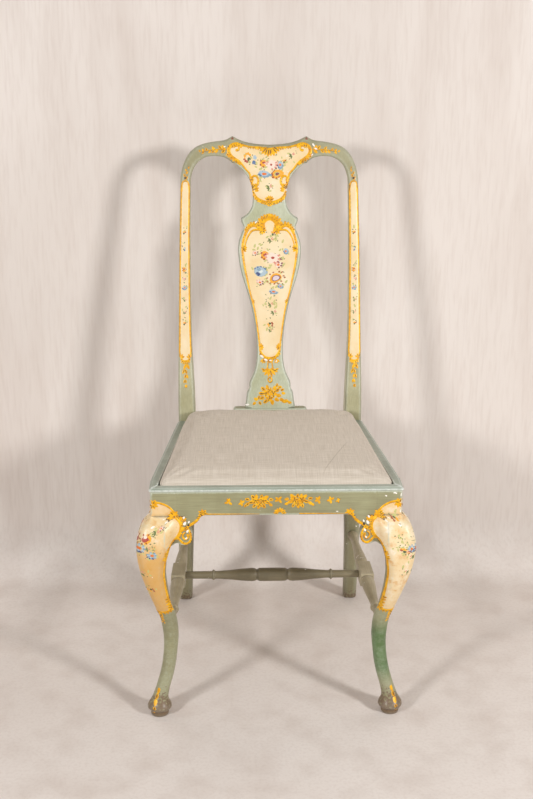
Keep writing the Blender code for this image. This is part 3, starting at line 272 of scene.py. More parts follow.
def woven(name, pitch, pale, deep, fleck, stripes=None, shaded_crease=None):
    """Plain-woven flax or jute with uneven spun threads.

    The eye gets a fine grid of crossing threads, long pale and dark slubs in both directions, a few
    flecks of husk and no shine. The threads follow the piece's own map, which is in metres.
    """
    made, tree, shader = new_finish(name)
    along = add(tree, "ShaderNodeUVMap", uv_map="weave").outputs[0]
    turns = add(tree, "ShaderNodeVectorMath", {0: along, 1: (2 * math.pi * per_metre(pitch),) * 3},
                operation="MULTIPLY")
    axes = add(tree, "ShaderNodeSeparateXYZ", {0: turns}).outputs
    warp, weft = [add(tree, "ShaderNodeMath", {0: axes[axis]}, operation="SINE") for axis in "XY"]
    crossing = add(tree, "ShaderNodeMath", {0: warp, 1: weft}, operation="MULTIPLY")
    tones = []
    for run in ((per_metre(pitch), per_metre(45), 1.0), (per_metre(38), per_metre(pitch), 1.0)):
        stretched = add(tree, "ShaderNodeMapping", {"Vector": along, "Scale": run})
        tones.append(add(tree, "ShaderNodeTexNoise", {"Vector": stretched, "Scale": 1.0, "Detail": 2.0}))
    slubs = add(tree, "ShaderNodeMath", {0: tones[0], 1: tones[1]}, operation="ADD")
    lit = add(tree, "ShaderNodeMath", {0: crossing, 1: 0.13, 2: slubs}, operation="MULTIPLY_ADD")
    share = add(tree, "ShaderNodeMapRange", {0: lit, 1: 0.68, 2: 1.32})
    husks = add(tree, "ShaderNodeTexNoise", {"Vector": along, "Scale": per_metre(5), "Detail": 2.0})
    husk_share = add(tree, "ShaderNodeMapRange", {0: husks, 1: 0.745, 2: 0.79, 3: 0.0, 4: 0.6})
    over = [(share, pale), (husk_share, fleck)]
    if shaded_crease:
        # A fold line pressed into the cloth, its shade painted in as a darker line: 1.2 mm wide, drawn at 2.8 mm so
        # that it shows.
        start, end = shaded_crease
        run = end - start
        turned = add(tree, "ShaderNodeMapping", {"Vector": along, "Location": (*start, 0.0),
                                                 "Rotation": (0.0, 0.0, math.atan2(run.y, run.x))},
                     vector_type="TEXTURE")
        fold = add(tree, "ShaderNodeSeparateXYZ", {0: turned}).outputs
        off = add(tree, "ShaderNodeMath", {0: fold["Y"]}, operation="ABSOLUTE")
        crease_shade = add(tree, "ShaderNodeMapRange", {0: off, 1: 0.0, 2: 0.0014, 3: 0.4, 4: 0.0})
        for end_at, full_at in ((0.0, CREASE_FADE), (run.length, run.length - CREASE_FADE)):
            fade = add(tree, "ShaderNodeMapRange", {0: fold["X"], 1: end_at, 2: full_at})
            crease_shade = add(tree, "ShaderNodeMath", {0: crease_shade, 1: fade}, operation="MULTIPLY")
        over.append((crease_shade, fleck))
    if stripes:
        middle = add(tree, "ShaderNodeSeparateXYZ", {0: along}).outputs["Y"]
        off = add(tree, "ShaderNodeMath", {0: middle}, operation="ABSOLUTE")
        apart = add(tree, "ShaderNodeMath", {0: off, 1: stripes}, operation="SUBTRACT")
        beside = add(tree, "ShaderNodeMath", {0: apart}, operation="ABSOLUTE")
        band = add(tree, "ShaderNodeMapRange", {0: beside, 1: 0.0022, 2: 0.0016, 3: 0.0, 4: 0.85})
        over.append((band, "#4A3A2A"))
    cloth = hex_colour(deep)
    for part, colour in over:
        cloth = add(tree, "ShaderNodeMix", {0: part, 6: cloth, 7: hex_colour(colour)}, data_type="RGBA")
    relief = add(tree, "ShaderNodeBump", {"Height": lit, "Strength": 0.55, "Distance": pitch * MM * 0.35})
    feed(tree, shader, {"Base Color": cloth, "Normal": relief, "Roughness": 0.92, "Sheen Weight": 0.12,
                        "Sheen Roughness": 0.5})
    return made


def studio_paper():
    """Pale canvas backdrop, matt: faint clouds and the painted shade of soft upright folds; from behind it can be
    looked through.
    """
    made, tree, shader = new_finish("studio_backdrop")
    place = add(tree, "ShaderNodeTexCoord").outputs["Object"]
    clouds = add(tree, "ShaderNodeTexNoise", {"Vector": place, "Scale": 1.4, "Detail": 3.0})
    share = add(tree, "ShaderNodeMapRange", {0: clouds, 1: 0.3, 2: 0.7})
    colour = add(tree, "ShaderNodeMix", {0: share, 6: hex_colour("#DFD6CF"), 7: hex_colour("#EAE2DC")},
                 data_type="RGBA")
    # Folds about 70 mm apart and half a metre long, with their shade painted in as darker streaks; threads drawn at 6
    # mm so that they show.
    for wide, long, depth in ((70, 500, 0.35), (6, 60, 0.22)):
        drawn_out = add(tree, "ShaderNodeMapping", {"Vector": place,
                                                    "Scale": [per_metre(m) for m in (wide, wide, long)]})
        fold_shade = add(tree, "ShaderNodeTexNoise", {"Vector": drawn_out, "Scale": 1.0, "Detail": 3.0})
        share = add(tree, "ShaderNodeMapRange", {0: fold_shade, 1: 0.45, 2: 0.72, 3: 0.0, 4: depth})
        colour = add(tree, "ShaderNodeMix", {0: share, 6: colour, 7: hex_colour("#C7B8AE")}, data_type="RGBA")
    feed(tree, shader, {"Base Color": colour, "Roughness": 0.95, "Specular IOR Level": 0.1})
    behind = add(tree, "ShaderNodeNewGeometry").outputs["Backfacing"]
    clear = add(tree, "ShaderNodeBsdfTransparent")
    seen = add(tree, "ShaderNodeMixShader", {0: behind, 1: shader, 2: clear})
    feed(tree, tree.nodes["Material Output"], {"Surface": seen})
    return made


# Spacing of the brush lines across, along the depth and up, in millimetres.
UPRIGHT = (1.5, 1.5, 40)
ACROSS = (40, 1.5, 1.5)
LENGTHWAYS = (1.5, 40, 1.5)
# The posts and crest take a darker sage than the splat: partly a real difference of tone, partly painted light, with
# the splat's paler copy standing for a lit face and the darker one for shade.
SAGE = aged_paint("sage_oil_paint", "#BDBA97", "#A39E79", "#756F50", "#CFD6C4", UPRIGHT, worn=0.5,
                  kicked_to=-0.002, height_shade=0.38, handled=0.5)
SAGE_SPLAT_LIT = aged_paint("pale_sage_oil_paint_on_splat", "#C6CBB2", "#B4B796", "#7F7C60", "#DCE5DC", UPRIGHT,
                        worn=0.7, handled=0.6)
SAGE_RAIL = aged_paint("sage_oil_paint_on_rails", "#A19F7B", "#8D8966", "#656045", "#C0C6B4", ACROSS,
                       kicked_to=0.024, mottled=0.75)
RIM_PAINT = aged_paint("blue_grey_rim_paint", "#AFB7A9", "#949E8E", "#6B6E5E", "#E2E7E1", ACROSS, worn=0.95)
OLIVE = aged_paint("dull_olive_stretcher_paint", "#B0A486", "#938769", "#5C523D", "#B1AB95", LENGTHWAYS,
                   worn=0.35)
# The cross stretcher takes a darker copy of the side stretchers' olive paint: painted shade, as less light reaches
# it.
OLIVE_SHADED = aged_paint("dark_olive_stretcher_paint", "#857B60", "#685F46", "#4A4030", "#928D78", ACROSS,
                        worn=0.4)
GILT = gilt_finish()
FLOWERS = flower_finish()
BEECH = planed_beech()
LINEN = woven("greige_linen", THREAD_MM, "#DCD1C3", "#C2B6A5", "#8A7A66", shaded_crease=(CREASE_FROM, CREASE_TO))
JUTE = woven("jute_webbing", 2.4, "#B59A70", "#8A6F49", "#5E4A30", stripes=0.011)
HESSIAN = woven("jute_hessian", 2.6, "#B39B76", "#80694A", "#57452E")


def new_object(name, bm, finish=None, smooth=True):
    """An object from a mesh under construction."""
    mesh = bpy.data.meshes.new(name)
    bm.to_mesh(mesh)
    bm.free()
    if finish:
        mesh.materials.append(finish)
    for face in mesh.polygons:
        face.use_smooth = smooth
    made = bpy.data.objects.new(name, mesh)
    scene.collection.objects.link(made)
    return made


def piece(name, bm, finish, body, smooth=True):
    """A finished piece from a mesh under construction, riding on a body of the chair."""
    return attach(new_object(name, bm, finish, smooth), body)


def copy_of(*names):
    """A merged copy of CAD nodes as one mesh under construction."""
    bm = bmesh.new()
    for name in names:
        bm.from_mesh(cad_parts[name].data)
    bmesh.ops.remove_doubles(bm, verts=bm.verts, dist=1e-6)
    return bm


def regrid(bm, size):
    """The same closed shape as one even grid of small faces; shapes that overlap become one."""
    holder = new_object("grid", bm)
    mesh = holder.data
    voxels = holder.modifiers.new("voxels", "REMESH")
    voxels.mode = "VOXEL"
    voxels.voxel_size = size
    result = bmesh.new()
    result.from_object(holder, bpy.context.evaluated_depsgraph_get())
    bpy.data.objects.remove(holder)
    bpy.data.meshes.remove(mesh)
    return result


def ease(bm, passes, chosen=None):
    """Arrises and facets rubbed soft, everywhere or at chosen points."""
    for _ in range(passes):
        bmesh.ops.smooth_vert(bm, verts=chosen or bm.verts, factor=0.5, use_axis_x=True, use_axis_y=True,
                              use_axis_z=True)


def points_of(mesh):
    """Places and outward directions of a mesh's points."""
    both = []
    for what in ("co", "normal"):
        both.append(np.empty(len(mesh.vertices) * 3))
        mesh.vertices.foreach_get(what, both[-1])
    return [values.reshape(-1, 3) for values in both]


def mark(mesh, name, values):
    """Writes a value at each point of a mesh, for a finish to read."""
    found = mesh.attributes.get(name) or mesh.attributes.new(name, "FLOAT", "POINT")
    found.data.foreach_set("value", values.astype(np.float32))


def mark_arrises(mesh):
    """Writes how far each point stands proud of its smoothed neighbourhood, in millimetres."""
    place, outward = points_of(mesh)
    blurred = bmesh.new()
    blurred.from_mesh(mesh)
    ease(blurred, ARRIS_PASSES)
    soft = np.array([v.co[:] for v in blurred.verts])
    blurred.free()
    mark(mesh, "arris", ((place - soft) * outward).sum(1) / MM)


def mark_reserve(mesh, depth):
    """Writes the cream reserve: 10 at its edge, more inside it, nothing far outside."""
    mark(mesh, "reserve", np.clip(depth + 10.0, 0, 60))


def carved(name, nodes, size, passes, finish):
    """A dense, eased copy of painted wooden nodes that takes their place."""
    bm = regrid(copy_of(*nodes), size)
    ease(bm, passes)
    made = piece(name, bm, finish, "chair_frame")
    mark_arrises(made.data)
    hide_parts(*nodes)
    return made


# Curves of the decoration

def curve_through(points, step=STROKE_STEP, closed=False):
    """Evenly spaced points on a smooth curve through the given ones; further columns are carried along."""
    knots = np.array(points, float)
    count = len(knots)
    spans = count if closed else count - 1
    line = []
    for i in range(spans):
        pick = [(i + k) % count if closed else min(max(i + k, 0), count - 1) for k in (-1, 0, 1, 2)]
        a, b, c, d = knots[pick]
        steps = max(2, int(np.hypot(*(c - b)[:2]) / step))
        for t in np.arange(steps) / steps:
            line.append(0.5 * (2 * b + (c - a) * t + (2 * a - 5 * b + 4 * c - d) * t ** 2
                               + (3 * b - a - 3 * c + d) * t ** 3))
    if not closed:
        line.append(knots[-1])
    return np.array(line)


def inside_by(points, outline):
    """How far each point lies inside a closed outline, in the outline's unit; negative outside it."""
    nearest = np.full(len(points), np.inf)
    within = np.zeros(len(points), bool)
    for (ax, ay), (dx, dy) in zip(outline, np.roll(outline, -1, 0) - outline):
        px, py = points[:, 0] - ax, points[:, 1] - ay
        t = np.clip((px * dx + py * dy) / (dx * dx + dy * dy + 1e-12), 0, 1)
        nearest = np.minimum(nearest, np.hypot(px - t * dx, py - t * dy))
        crosses = (ay > points[:, 1]) != (ay + dy > points[:, 1])
        slope = dx / dy if abs(dy) > 1e-12 else 0.0
        within ^= crosses & (points[:, 0] < ax + (points[:, 1] - ay) * slope)
    return np.where(within, nearest, -nearest)


def mirrored(half):
    """A closed outline from its right half, given from top to bottom on the middle line."""
    left = [(-p[0],) + tuple(p[1:]) for p in reversed(half) if abs(p[0]) > 0.01]
    return list(half) + left


def to_side(side, *points):
    """Points given for the right half of the chair, on the right (1) or the left (-1)."""
    return [(p[0] * side,) + tuple(p[1:]) for p in points]


def heading(turn):
    """Step across and step up along a direction in degrees."""
    return math.cos(math.radians(turn)), math.sin(math.radians(turn))


# The back: posts, crest and splat gridded as one, so that the paint runs over their joints.

def level_joint(bm):
    """Fills the step between splat and crest on the painted side, as gesso does."""
    tree = BVHTree.FromBMesh(bm)
    ahead = Vector((0, 1, 0))
    low = CREST_UNDERSIDE - SPLAT_BLEND
    edge = SPLAT_TOP_HALF - SPLAT_ARRIS
    for vert in bm.verts:
        share = (vert.co.z - low) / (2 * SPLAT_BLEND)
        if not 0 < share < 1 or abs(vert.co.x) > edge:
            continue
        fronts = [tree.ray_cast(Vector((vert.co.x, RAIL_FACE, z)), ahead)[0]
                  for z in (low, vert.co.z, low + 2 * SPLAT_BLEND)]
        if None in fronts or vert.co.y > fronts[1].y + BACK_GRID:
            continue
        share = share * share * (3 - 2 * share)
        target = fronts[0].y * (1 - share) + fronts[2].y * share
        hold = min(1, (edge - abs(vert.co.x)) / SPLAT_FADE)
        vert.co.y += min(0, target - vert.co.y) * hold


def back_member(centre):
    """The member of the back that a face belongs to."""
    if abs(centre.x) > POST_INNER and centre.z < CREST_JOINT:
        return "right_rear_post" if centre.x > 0 else "left_rear_post"
    if abs(centre.x) < SPLAT_TOP_HALF and centre.z < CREST_UNDERSIDE:
        return "back_splat"
    return "crest_rail"


def keep_normals(mesh):
    """Shades a piece as the whole that it was cut from, so that no seam shows in the paint."""
    ways = np.empty(len(mesh.vertices) * 3, np.float32)
    mesh.attributes["facing_out"].data.foreach_get("vector", ways)
    mesh.attributes.remove(mesh.attributes["facing_out"])
    mesh.normals_split_custom_set_from_vertices(ways.reshape(-1, 3))


def painted_as_one(grid, member, finishes):
    """Painted members from one grid, so that the paint runs over their joints, then cut apart there."""
    whole = bpy.data.meshes.new("whole")
    grid.to_mesh(whole)
    grid.free()
    mark_arrises(whole)
    facing_out = whole.attributes.new("facing_out", "FLOAT_VECTOR", "POINT")
    facing_out.data.foreach_set("vector", points_of(whole)[1].ravel().astype(np.float32))
    made = {}
    for name, finish in finishes.items():
        bm = bmesh.new()
        bm.from_mesh(whole)
        others = [f for f in bm.faces if member(f.calc_center_median()) != name]
        bmesh.ops.delete(bm, geom=others, context="FACES")
        bmesh.ops.holes_fill(bm, edges=[e for e in bm.edges if e.is_boundary], sides=0)
        made[name] = piece("painted_" + name, bm, finish, "chair_frame")
        keep_normals(made[name].data)
    bpy.data.meshes.remove(whole)
    return made


def painted_back():
    """Crest, splat and rear posts."""
    finishes = {"crest_rail": SAGE, "back_splat": SAGE_SPLAT_LIT, "left_rear_post": SAGE, "right_rear_post": SAGE}
    grid = regrid(copy_of(*finishes), BACK_GRID)
    ease(grid, 5)
    level_joint(grid)
    faired = [v for v in grid.verts if abs(v.co.z - CREST_UNDERSIDE) < 1.6 * SPLAT_BLEND
              and abs(v.co.x) < SPLAT_TOP_HALF - SPLAT_FADE and v.normal.y < -0.6]
    ease(grid, JOINT_PASSES, faired)
    ease(grid, 2)
    made = painted_as_one(grid, back_member, finishes)
    for name in finishes:
        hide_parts(name)
    return made


def frame_member(centre):
    """The member of the seat frame that a face belongs to."""
    hand = "left" if centre.x < 0 else "right"
    above_bracket = centre.z > RAIL_UNDERSIDE - SEAT_FRAME_GRID
    if above_bracket and abs(centre.x) < BLOCK_INNER and centre.y < BLOCK_BACK:
        return "front_seat_rail"
    if above_bracket and centre.y > BLOCK_BACK:
        return hand + "_seat_rail"
    return hand + "_leg"


def beside_knee(co):
    """Whether a point lies where a knee runs over into a bracket."""
    ahead, aside = co.y - RAIL_FACE, FRONT_HALF - abs(co.x)
    return FAIRED_BELOW[0] < RAIL_UNDERSIDE - co.z < FAIRED_BELOW[1] and (
        FAIRED_IN[0] < aside < FAIRED_IN[1] and ahead < FAIRED_DEEP or
        FAIRED_IN[0] < ahead < FAIRED_IN[1] and aside < FAIRED_DEEP)


def painted_seat_frame():
    """Front legs with their brackets, and the front and side rails; the knees are faired into the brackets."""
    corners = {hand: [hand + "_front_leg", "front_%s_knee_bracket" % hand, "side_%s_knee_bracket" % hand]
               for hand in ("left", "right")}
    rails = ["front_seat_rail", "left_seat_rail", "right_seat_rail"]
    grid = regrid(copy_of(*corners["left"], *corners["right"], *rails), SEAT_FRAME_GRID)
    ease(grid, 3)
    for keep, passes in ((lambda co: co.z < RAIL_UNDERSIDE - 0.002, 4), (beside_knee, KNEE_PASSES)):
        ease(grid, passes, [v for v in grid.verts if keep(v.co)])
    finishes = {name: SAGE_RAIL for name in rails + ["left_leg", "right_leg"]}
    made = painted_as_one(grid, frame_member, finishes)
    for name in rails:
        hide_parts(name)
    for hand, nodes in corners.items():
        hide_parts(*nodes)
    return made


wood = painted_back()
wood.update(painted_seat_frame())
for name in ("rear_seat_rail", "splat_shoe"):
    wood[name] = carved("painted_" + name, [name], RAIL_GRID, 2, SAGE_RAIL)
for name in ("front_rim_moulding", "left_rim_moulding", "right_rim_moulding"):
    wood[name] = carved("painted_" + name, [name], TRIM_GRID, 3, RIM_PAINT)
for name, finish in (("left_side_stretcher", OLIVE), ("right_side_stretcher", OLIVE),
                     ("cross_stretcher", OLIVE_SHADED)):
    wood[name] = carved("turned_" + name, [name], TRIM_GRID, 4, finish)

for name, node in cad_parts.items():
    if name.endswith("_corner_block") or name.startswith("seat_frame_"):
        node.data.materials.clear()
        node.data.materials.append(BEECH)


# Drawing on the painted wood: a place on a face is (across, height) in millimetres.

depsgraph = bpy.context.evaluated_depsgraph_get()
skins = {name: BVHTree.FromObject(made, depsgraph) for name, made in wood.items()}

# Places of the dab in hand that its face didn't meet.
slipped = []


def facing(names, across, inward):
    """Finds the spot on painted pieces that a straight line along inward meets, and its outward direction."""
    trees = [skins[n] for n in names]
    inward = Vector(inward)
    last = Vector((0, 0, 0))

    def spot(u, v):
        nonlocal last
        start = Vector(across) * (u * MM) + Vector((0, 0, v * MM)) - inward
        hits = [h for h in (t.ray_cast(start, inward) for t in trees) if h[0] is not None]
        if not hits:
            slipped.append((u, v))
            guess = start + inward * (last - start).dot(inward)
            hits = [h for h in (t.find_nearest(guess) for t in trees) if h[0] is not None]
        last, outward = min(hits, key=lambda h: h[3])[:2]
        return last, outward

    spot.outward = -inward
    return spot


on_back = facing(("crest_rail", "back_splat", "left_rear_post", "right_rear_post"), (1, 0, 0), (0, 1, 0))
on_rail = facing(("front_seat_rail",), (1, 0, 0), (0, 1, 0))

PAINTS = {
    "umber": "#5F3A10", "blush": "#E6BCAA", "shell": "#F2DCCB", "rose": "#D98F7C", "crimson": "#A83A2A",
    "sky": "#A9BECB", "cobalt": "#4E719E", "navy": "#33497C", "amber": "#F0A71E", "orange": "#E2701C",
    "russet": "#A4502C", "lilac": "#DCCBD2", "plum": "#7E4450", "leaf": "#66743F", "forest": "#43532F",
    "straw": "#C2BE79", "mist": "#DCE4E0", "steel": "#7F9DB2", "gesso": "#F6F1E8", "soot": "#3A2E22",
    "bare": "#8C5340",
}


def decoration():
    """An empty mesh for strokes and dabs, each with its own colour."""
    bm = bmesh.new()
    bm.verts.layers.float_color.new("dab")
    return bm


def lay(bm, verts, spot, places, paint):
    """Presses points on to a face: places gives (across, height, relief) in millimetres for each."""
    colour = hex_colour(PAINTS[paint]) if paint else (1, 1, 1, 1)
    layer = bm.verts.layers.float_color["dab"]
    for vert, (u, v, relief) in zip(verts, places):
        where, outward = spot(u, v)
        vert.co = where + outward * (relief * MM)
        vert[layer] = colour
    faces = {f for vert in verts for f in vert.link_faces}
    for face in faces:
        face.normal_update()
        if face.normal.dot(spot.outward) < 0:
            face.normal_flip()


def stroke(bm, spot, line, relief, paint=None):
    """A raised domed line along (across, height, width) points."""
    count = len(line)
    verts = bmesh.ops.create_grid(bm, x_segments=count - 1, y_segments=4, size=1.0)["verts"]
    course = np.gradient(line[:, :2], axis=0)
    course /= np.maximum(np.hypot(course[:, 0], course[:, 1]), 1e-9)[:, None]
    places = []
    for vert in verts:
        i = round((vert.co.x + 1) / 2 * (count - 1))
        u, v, width = line[i]
        side = vert.co.y * width / 2
        dome = relief * (1 - vert.co.y ** 2) * min(1, width / FULL_RELIEF_WIDTH) - STROKE_SUNK * vert.co.y ** 2
        places.append((u - course[i, 1] * side, v + course[i, 0] * side, dome))
    lay(bm, verts, spot, places, paint)


def dab(bm, spot, u, v, length, width, turn, relief, paint=None, layer=0.0, lean=None):
    """A domed petal or leaf that starts at (u, v) and points along turn, in degrees; lean moves its points.

    A painted one that would slip off its face or bend far round an edge is left out.
    """
    slipped.clear()
    verts = bmesh.ops.create_circle(bm, cap_ends=True, cap_tris=True, segments=PETAL_SIDES, radius=1.0)["verts"]
    c, s = heading(turn)
    places = []
    for vert in verts:
        a = (vert.co.x + 1) / 2 * length
        b = vert.co.y * width / 2 * (1 - 0.25 * vert.co.x)
        dome = relief * (1 - vert.co.xy.length_squared) - PETAL_SUNK * vert.co.xy.length_squared
        at = u + a * c - b * s, v + a * s + b * c
        places.append((lean(*at) if lean else at) + (dome + layer,))
    lay(bm, verts, spot, places, paint)
    depths = [vert.co.dot(spot.outward) for vert in verts]
    if paint not in (None, "umber", "bare") and (slipped or max(depths) - min(depths) > PETAL_BEND * MM):
        bmesh.ops.delete(bm, geom=verts, context="VERTS")


class Panel:
    """One decorated part of the chair: its gilding and its painted flowers, drawn on one face at a time."""

    def __init__(self, face, seed=7):
        self.face = face
        self.gilt = decoration()
        self.paint = decoration()
        self.chance = random.Random(seed)

    def touch(self, u, v, length, width, turn, relief, paint, layer=0.0, lean=None):
        """One touch of paint."""
        dab(self.paint, self.face, u, v, length, width, turn, relief, paint, layer, lean)

    def line(self, points, closed=False, relief=GILT_RELIEF):
        """A gilt line with a thin umber shade along both sides."""
        drawn = curve_through(points, closed=closed)
        if closed:
            drawn = np.vstack([drawn, drawn[:1]])
        overlap = 1.2 if relief == GILT_RELIEF else 0.6
        shade = drawn * np.array((1, 1, 1.1)) + np.array((0.4, -0.5, overlap))
        stroke(self.paint, self.face, shade, SHADE_RELIEF, "umber")
        stroke(self.gilt, self.face, drawn, relief)
        if relief == GILT_RELIEF:
            self.veins(drawn)

    def veins(self, drawn):
        """Short umber touches on a broad gilt band, which give it the look of leaves and scrolls."""
        course = np.gradient(drawn[:, :2], axis=0)
        for (u, v, width), (du, dv) in list(zip(drawn, course))[2:-2:3]:
            if width < VEINED_WIDTH:
                continue
            turn = math.degrees(math.atan2(dv, du)) + self.chance.uniform(15, 60)
            off = self.chance.uniform(-0.3, 0.1) * width
            length = self.chance.uniform(0.35, 0.6) * width
            self.touch(u - dv * off / STROKE_STEP, v + du * off / STROKE_STEP, length, 1.3, turn, 0.3, "umber",
                       GILT_RELIEF * 0.8)

    def flute(self, u, v, length, width, turn, layer=0.0, veined=0.4):
        """One gilt leaf or shell flute with an umber shade under it, and a vein on some."""
        self.touch(u, v, length + 1.4, width + 2.2, turn, SHADE_RELIEF, "umber")
        dab(self.gilt, self.face, u, v, length, width, turn, GILT_RELIEF, layer=layer)
        if self.chance.random() < veined:
            c, s = heading(turn)
            self.touch(u + 0.2 * length * c, v + 0.2 * length * s, length * 0.55, max(1.1, width * 0.24), turn,
                       0.25, "umber", GILT_RELIEF + layer)

    def fan(self, u, v, inner, length, width, first, last, count):
        """A shell: flutes that spread from (u, v)."""
        for k in range(count):
            turn = first + (last - first) * k / max(count - 1, 1)
            c, s = heading(turn)
            self.flute(u + inner * c, v + inner * s, length, width, turn, 0.1 * (k % 2))

    def frill(self, points, length, width, every, outward):
        """Flutes side by side along a curve, pointing to its left (1) or right (-1)."""
        drawn = curve_through([p[:2] for p in points], every)
        for (u, v), (du, dv) in zip(drawn, np.gradient(drawn, axis=0)):
            turn = math.degrees(math.atan2(dv, du)) + 90 * outward
            self.flute(u, v, length, width, turn, 0.05)

    def scroll(self, u, v, wide, tall, first, sweep, width):
        """A C-scroll round (u, v), thicker towards its end, with a bead there."""
        points = []
        for share in np.linspace(0, 1, 9):
            c, s = heading(first + sweep * share)
            draw_in = 1 - 0.25 * share
            points.append((u + wide * draw_in * c, v + tall * draw_in * s, width * (0.7 + 0.5 * share)))
        self.line(points)
        self.flute(points[-1][0] - width * 0.6, points[-1][1], width * 1.4, width * 1.4, 0, 0.3)

    def gilt_bloom(self, u, v, size):
        """A small gilt flower of five petals with a dark heart."""
        start = self.chance.uniform(0, 72)
        for k in range(5):
            self.flute(u, v, size, size * 0.68, start + 72 * k, 0.08 * (k % 3), veined=0.6)
        self.touch(u - size * 0.14, v, size * 0.28, size * 0.28, 0, 0.5, "umber", 0.75)

    def gilt_spray(self, u, v, flowers, leaves, side=1):
        """A gilt bunch: leaves (across, up, length, turn) and flowers (across, up, size) about its middle."""
        for du, dv, length, turn in leaves:
            turn += self.chance.uniform(-25, 25)
            self.flute(u + du * side, v + dv, length, length * 0.72, turn if side > 0 else 180 - turn, veined=0.5)
        for du, dv, size in flowers:
            self.gilt_bloom(u + du * side, v + dv, size)

    def bloom(self, kind, u, v, size, oval=1.0, tilt=0.0):
        """A painted flower of one of the kinds below, drawn out along tilt into an oval."""
        c, s = heading(tilt)

        def lean(x, y):
            a, b = ((x - u) * c + (y - v) * s) * oval, ((y - v) * c - (x - u) * s) / oval
            return u + a * c - b * s, v + a * s + b * c

        for count, first, sweep, inner, length, width, paint, layer in BLOOMS[kind]:
            for k in range(count):
                turn = first + sweep * k / count + self.chance.uniform(-6, 6)
                far = size * inner * self.chance.uniform(0.85, 1.1)
                across, up = heading(turn)
                self.touch(u + far * across, v + far * up, size * length * self.chance.uniform(0.85, 1.12),
                           size * width, turn, PETAL_RELIEF, paint, layer, lean)

    def leaves(self, u, v, size, count):
        """Loose foliage: broad pale straw touches with small dark leaves among them."""
        for k in range(count):
            paint = ("straw", "leaf", "straw", "forest", "leaf")[k % 5]
            turn = self.chance.uniform(0, 360)
            du, dv = self.chance.uniform(-1, 1) * size, self.chance.uniform(-1, 1) * size
            length = self.chance.uniform(7, 12) if paint == "straw" else self.chance.uniform(3, 5.5)
            self.touch(u + du, v + dv, length, length * 0.5, turn, 0.15, paint)

    def finish(self, name):
        """The panel's two pieces on the chair."""
        for bm, kind, finish in ((self.gilt, "gilding", GILT), (self.paint, "painting", FLOWERS)):
            made = piece(kind + "_of_" + name, bm, finish, "chair_frame")


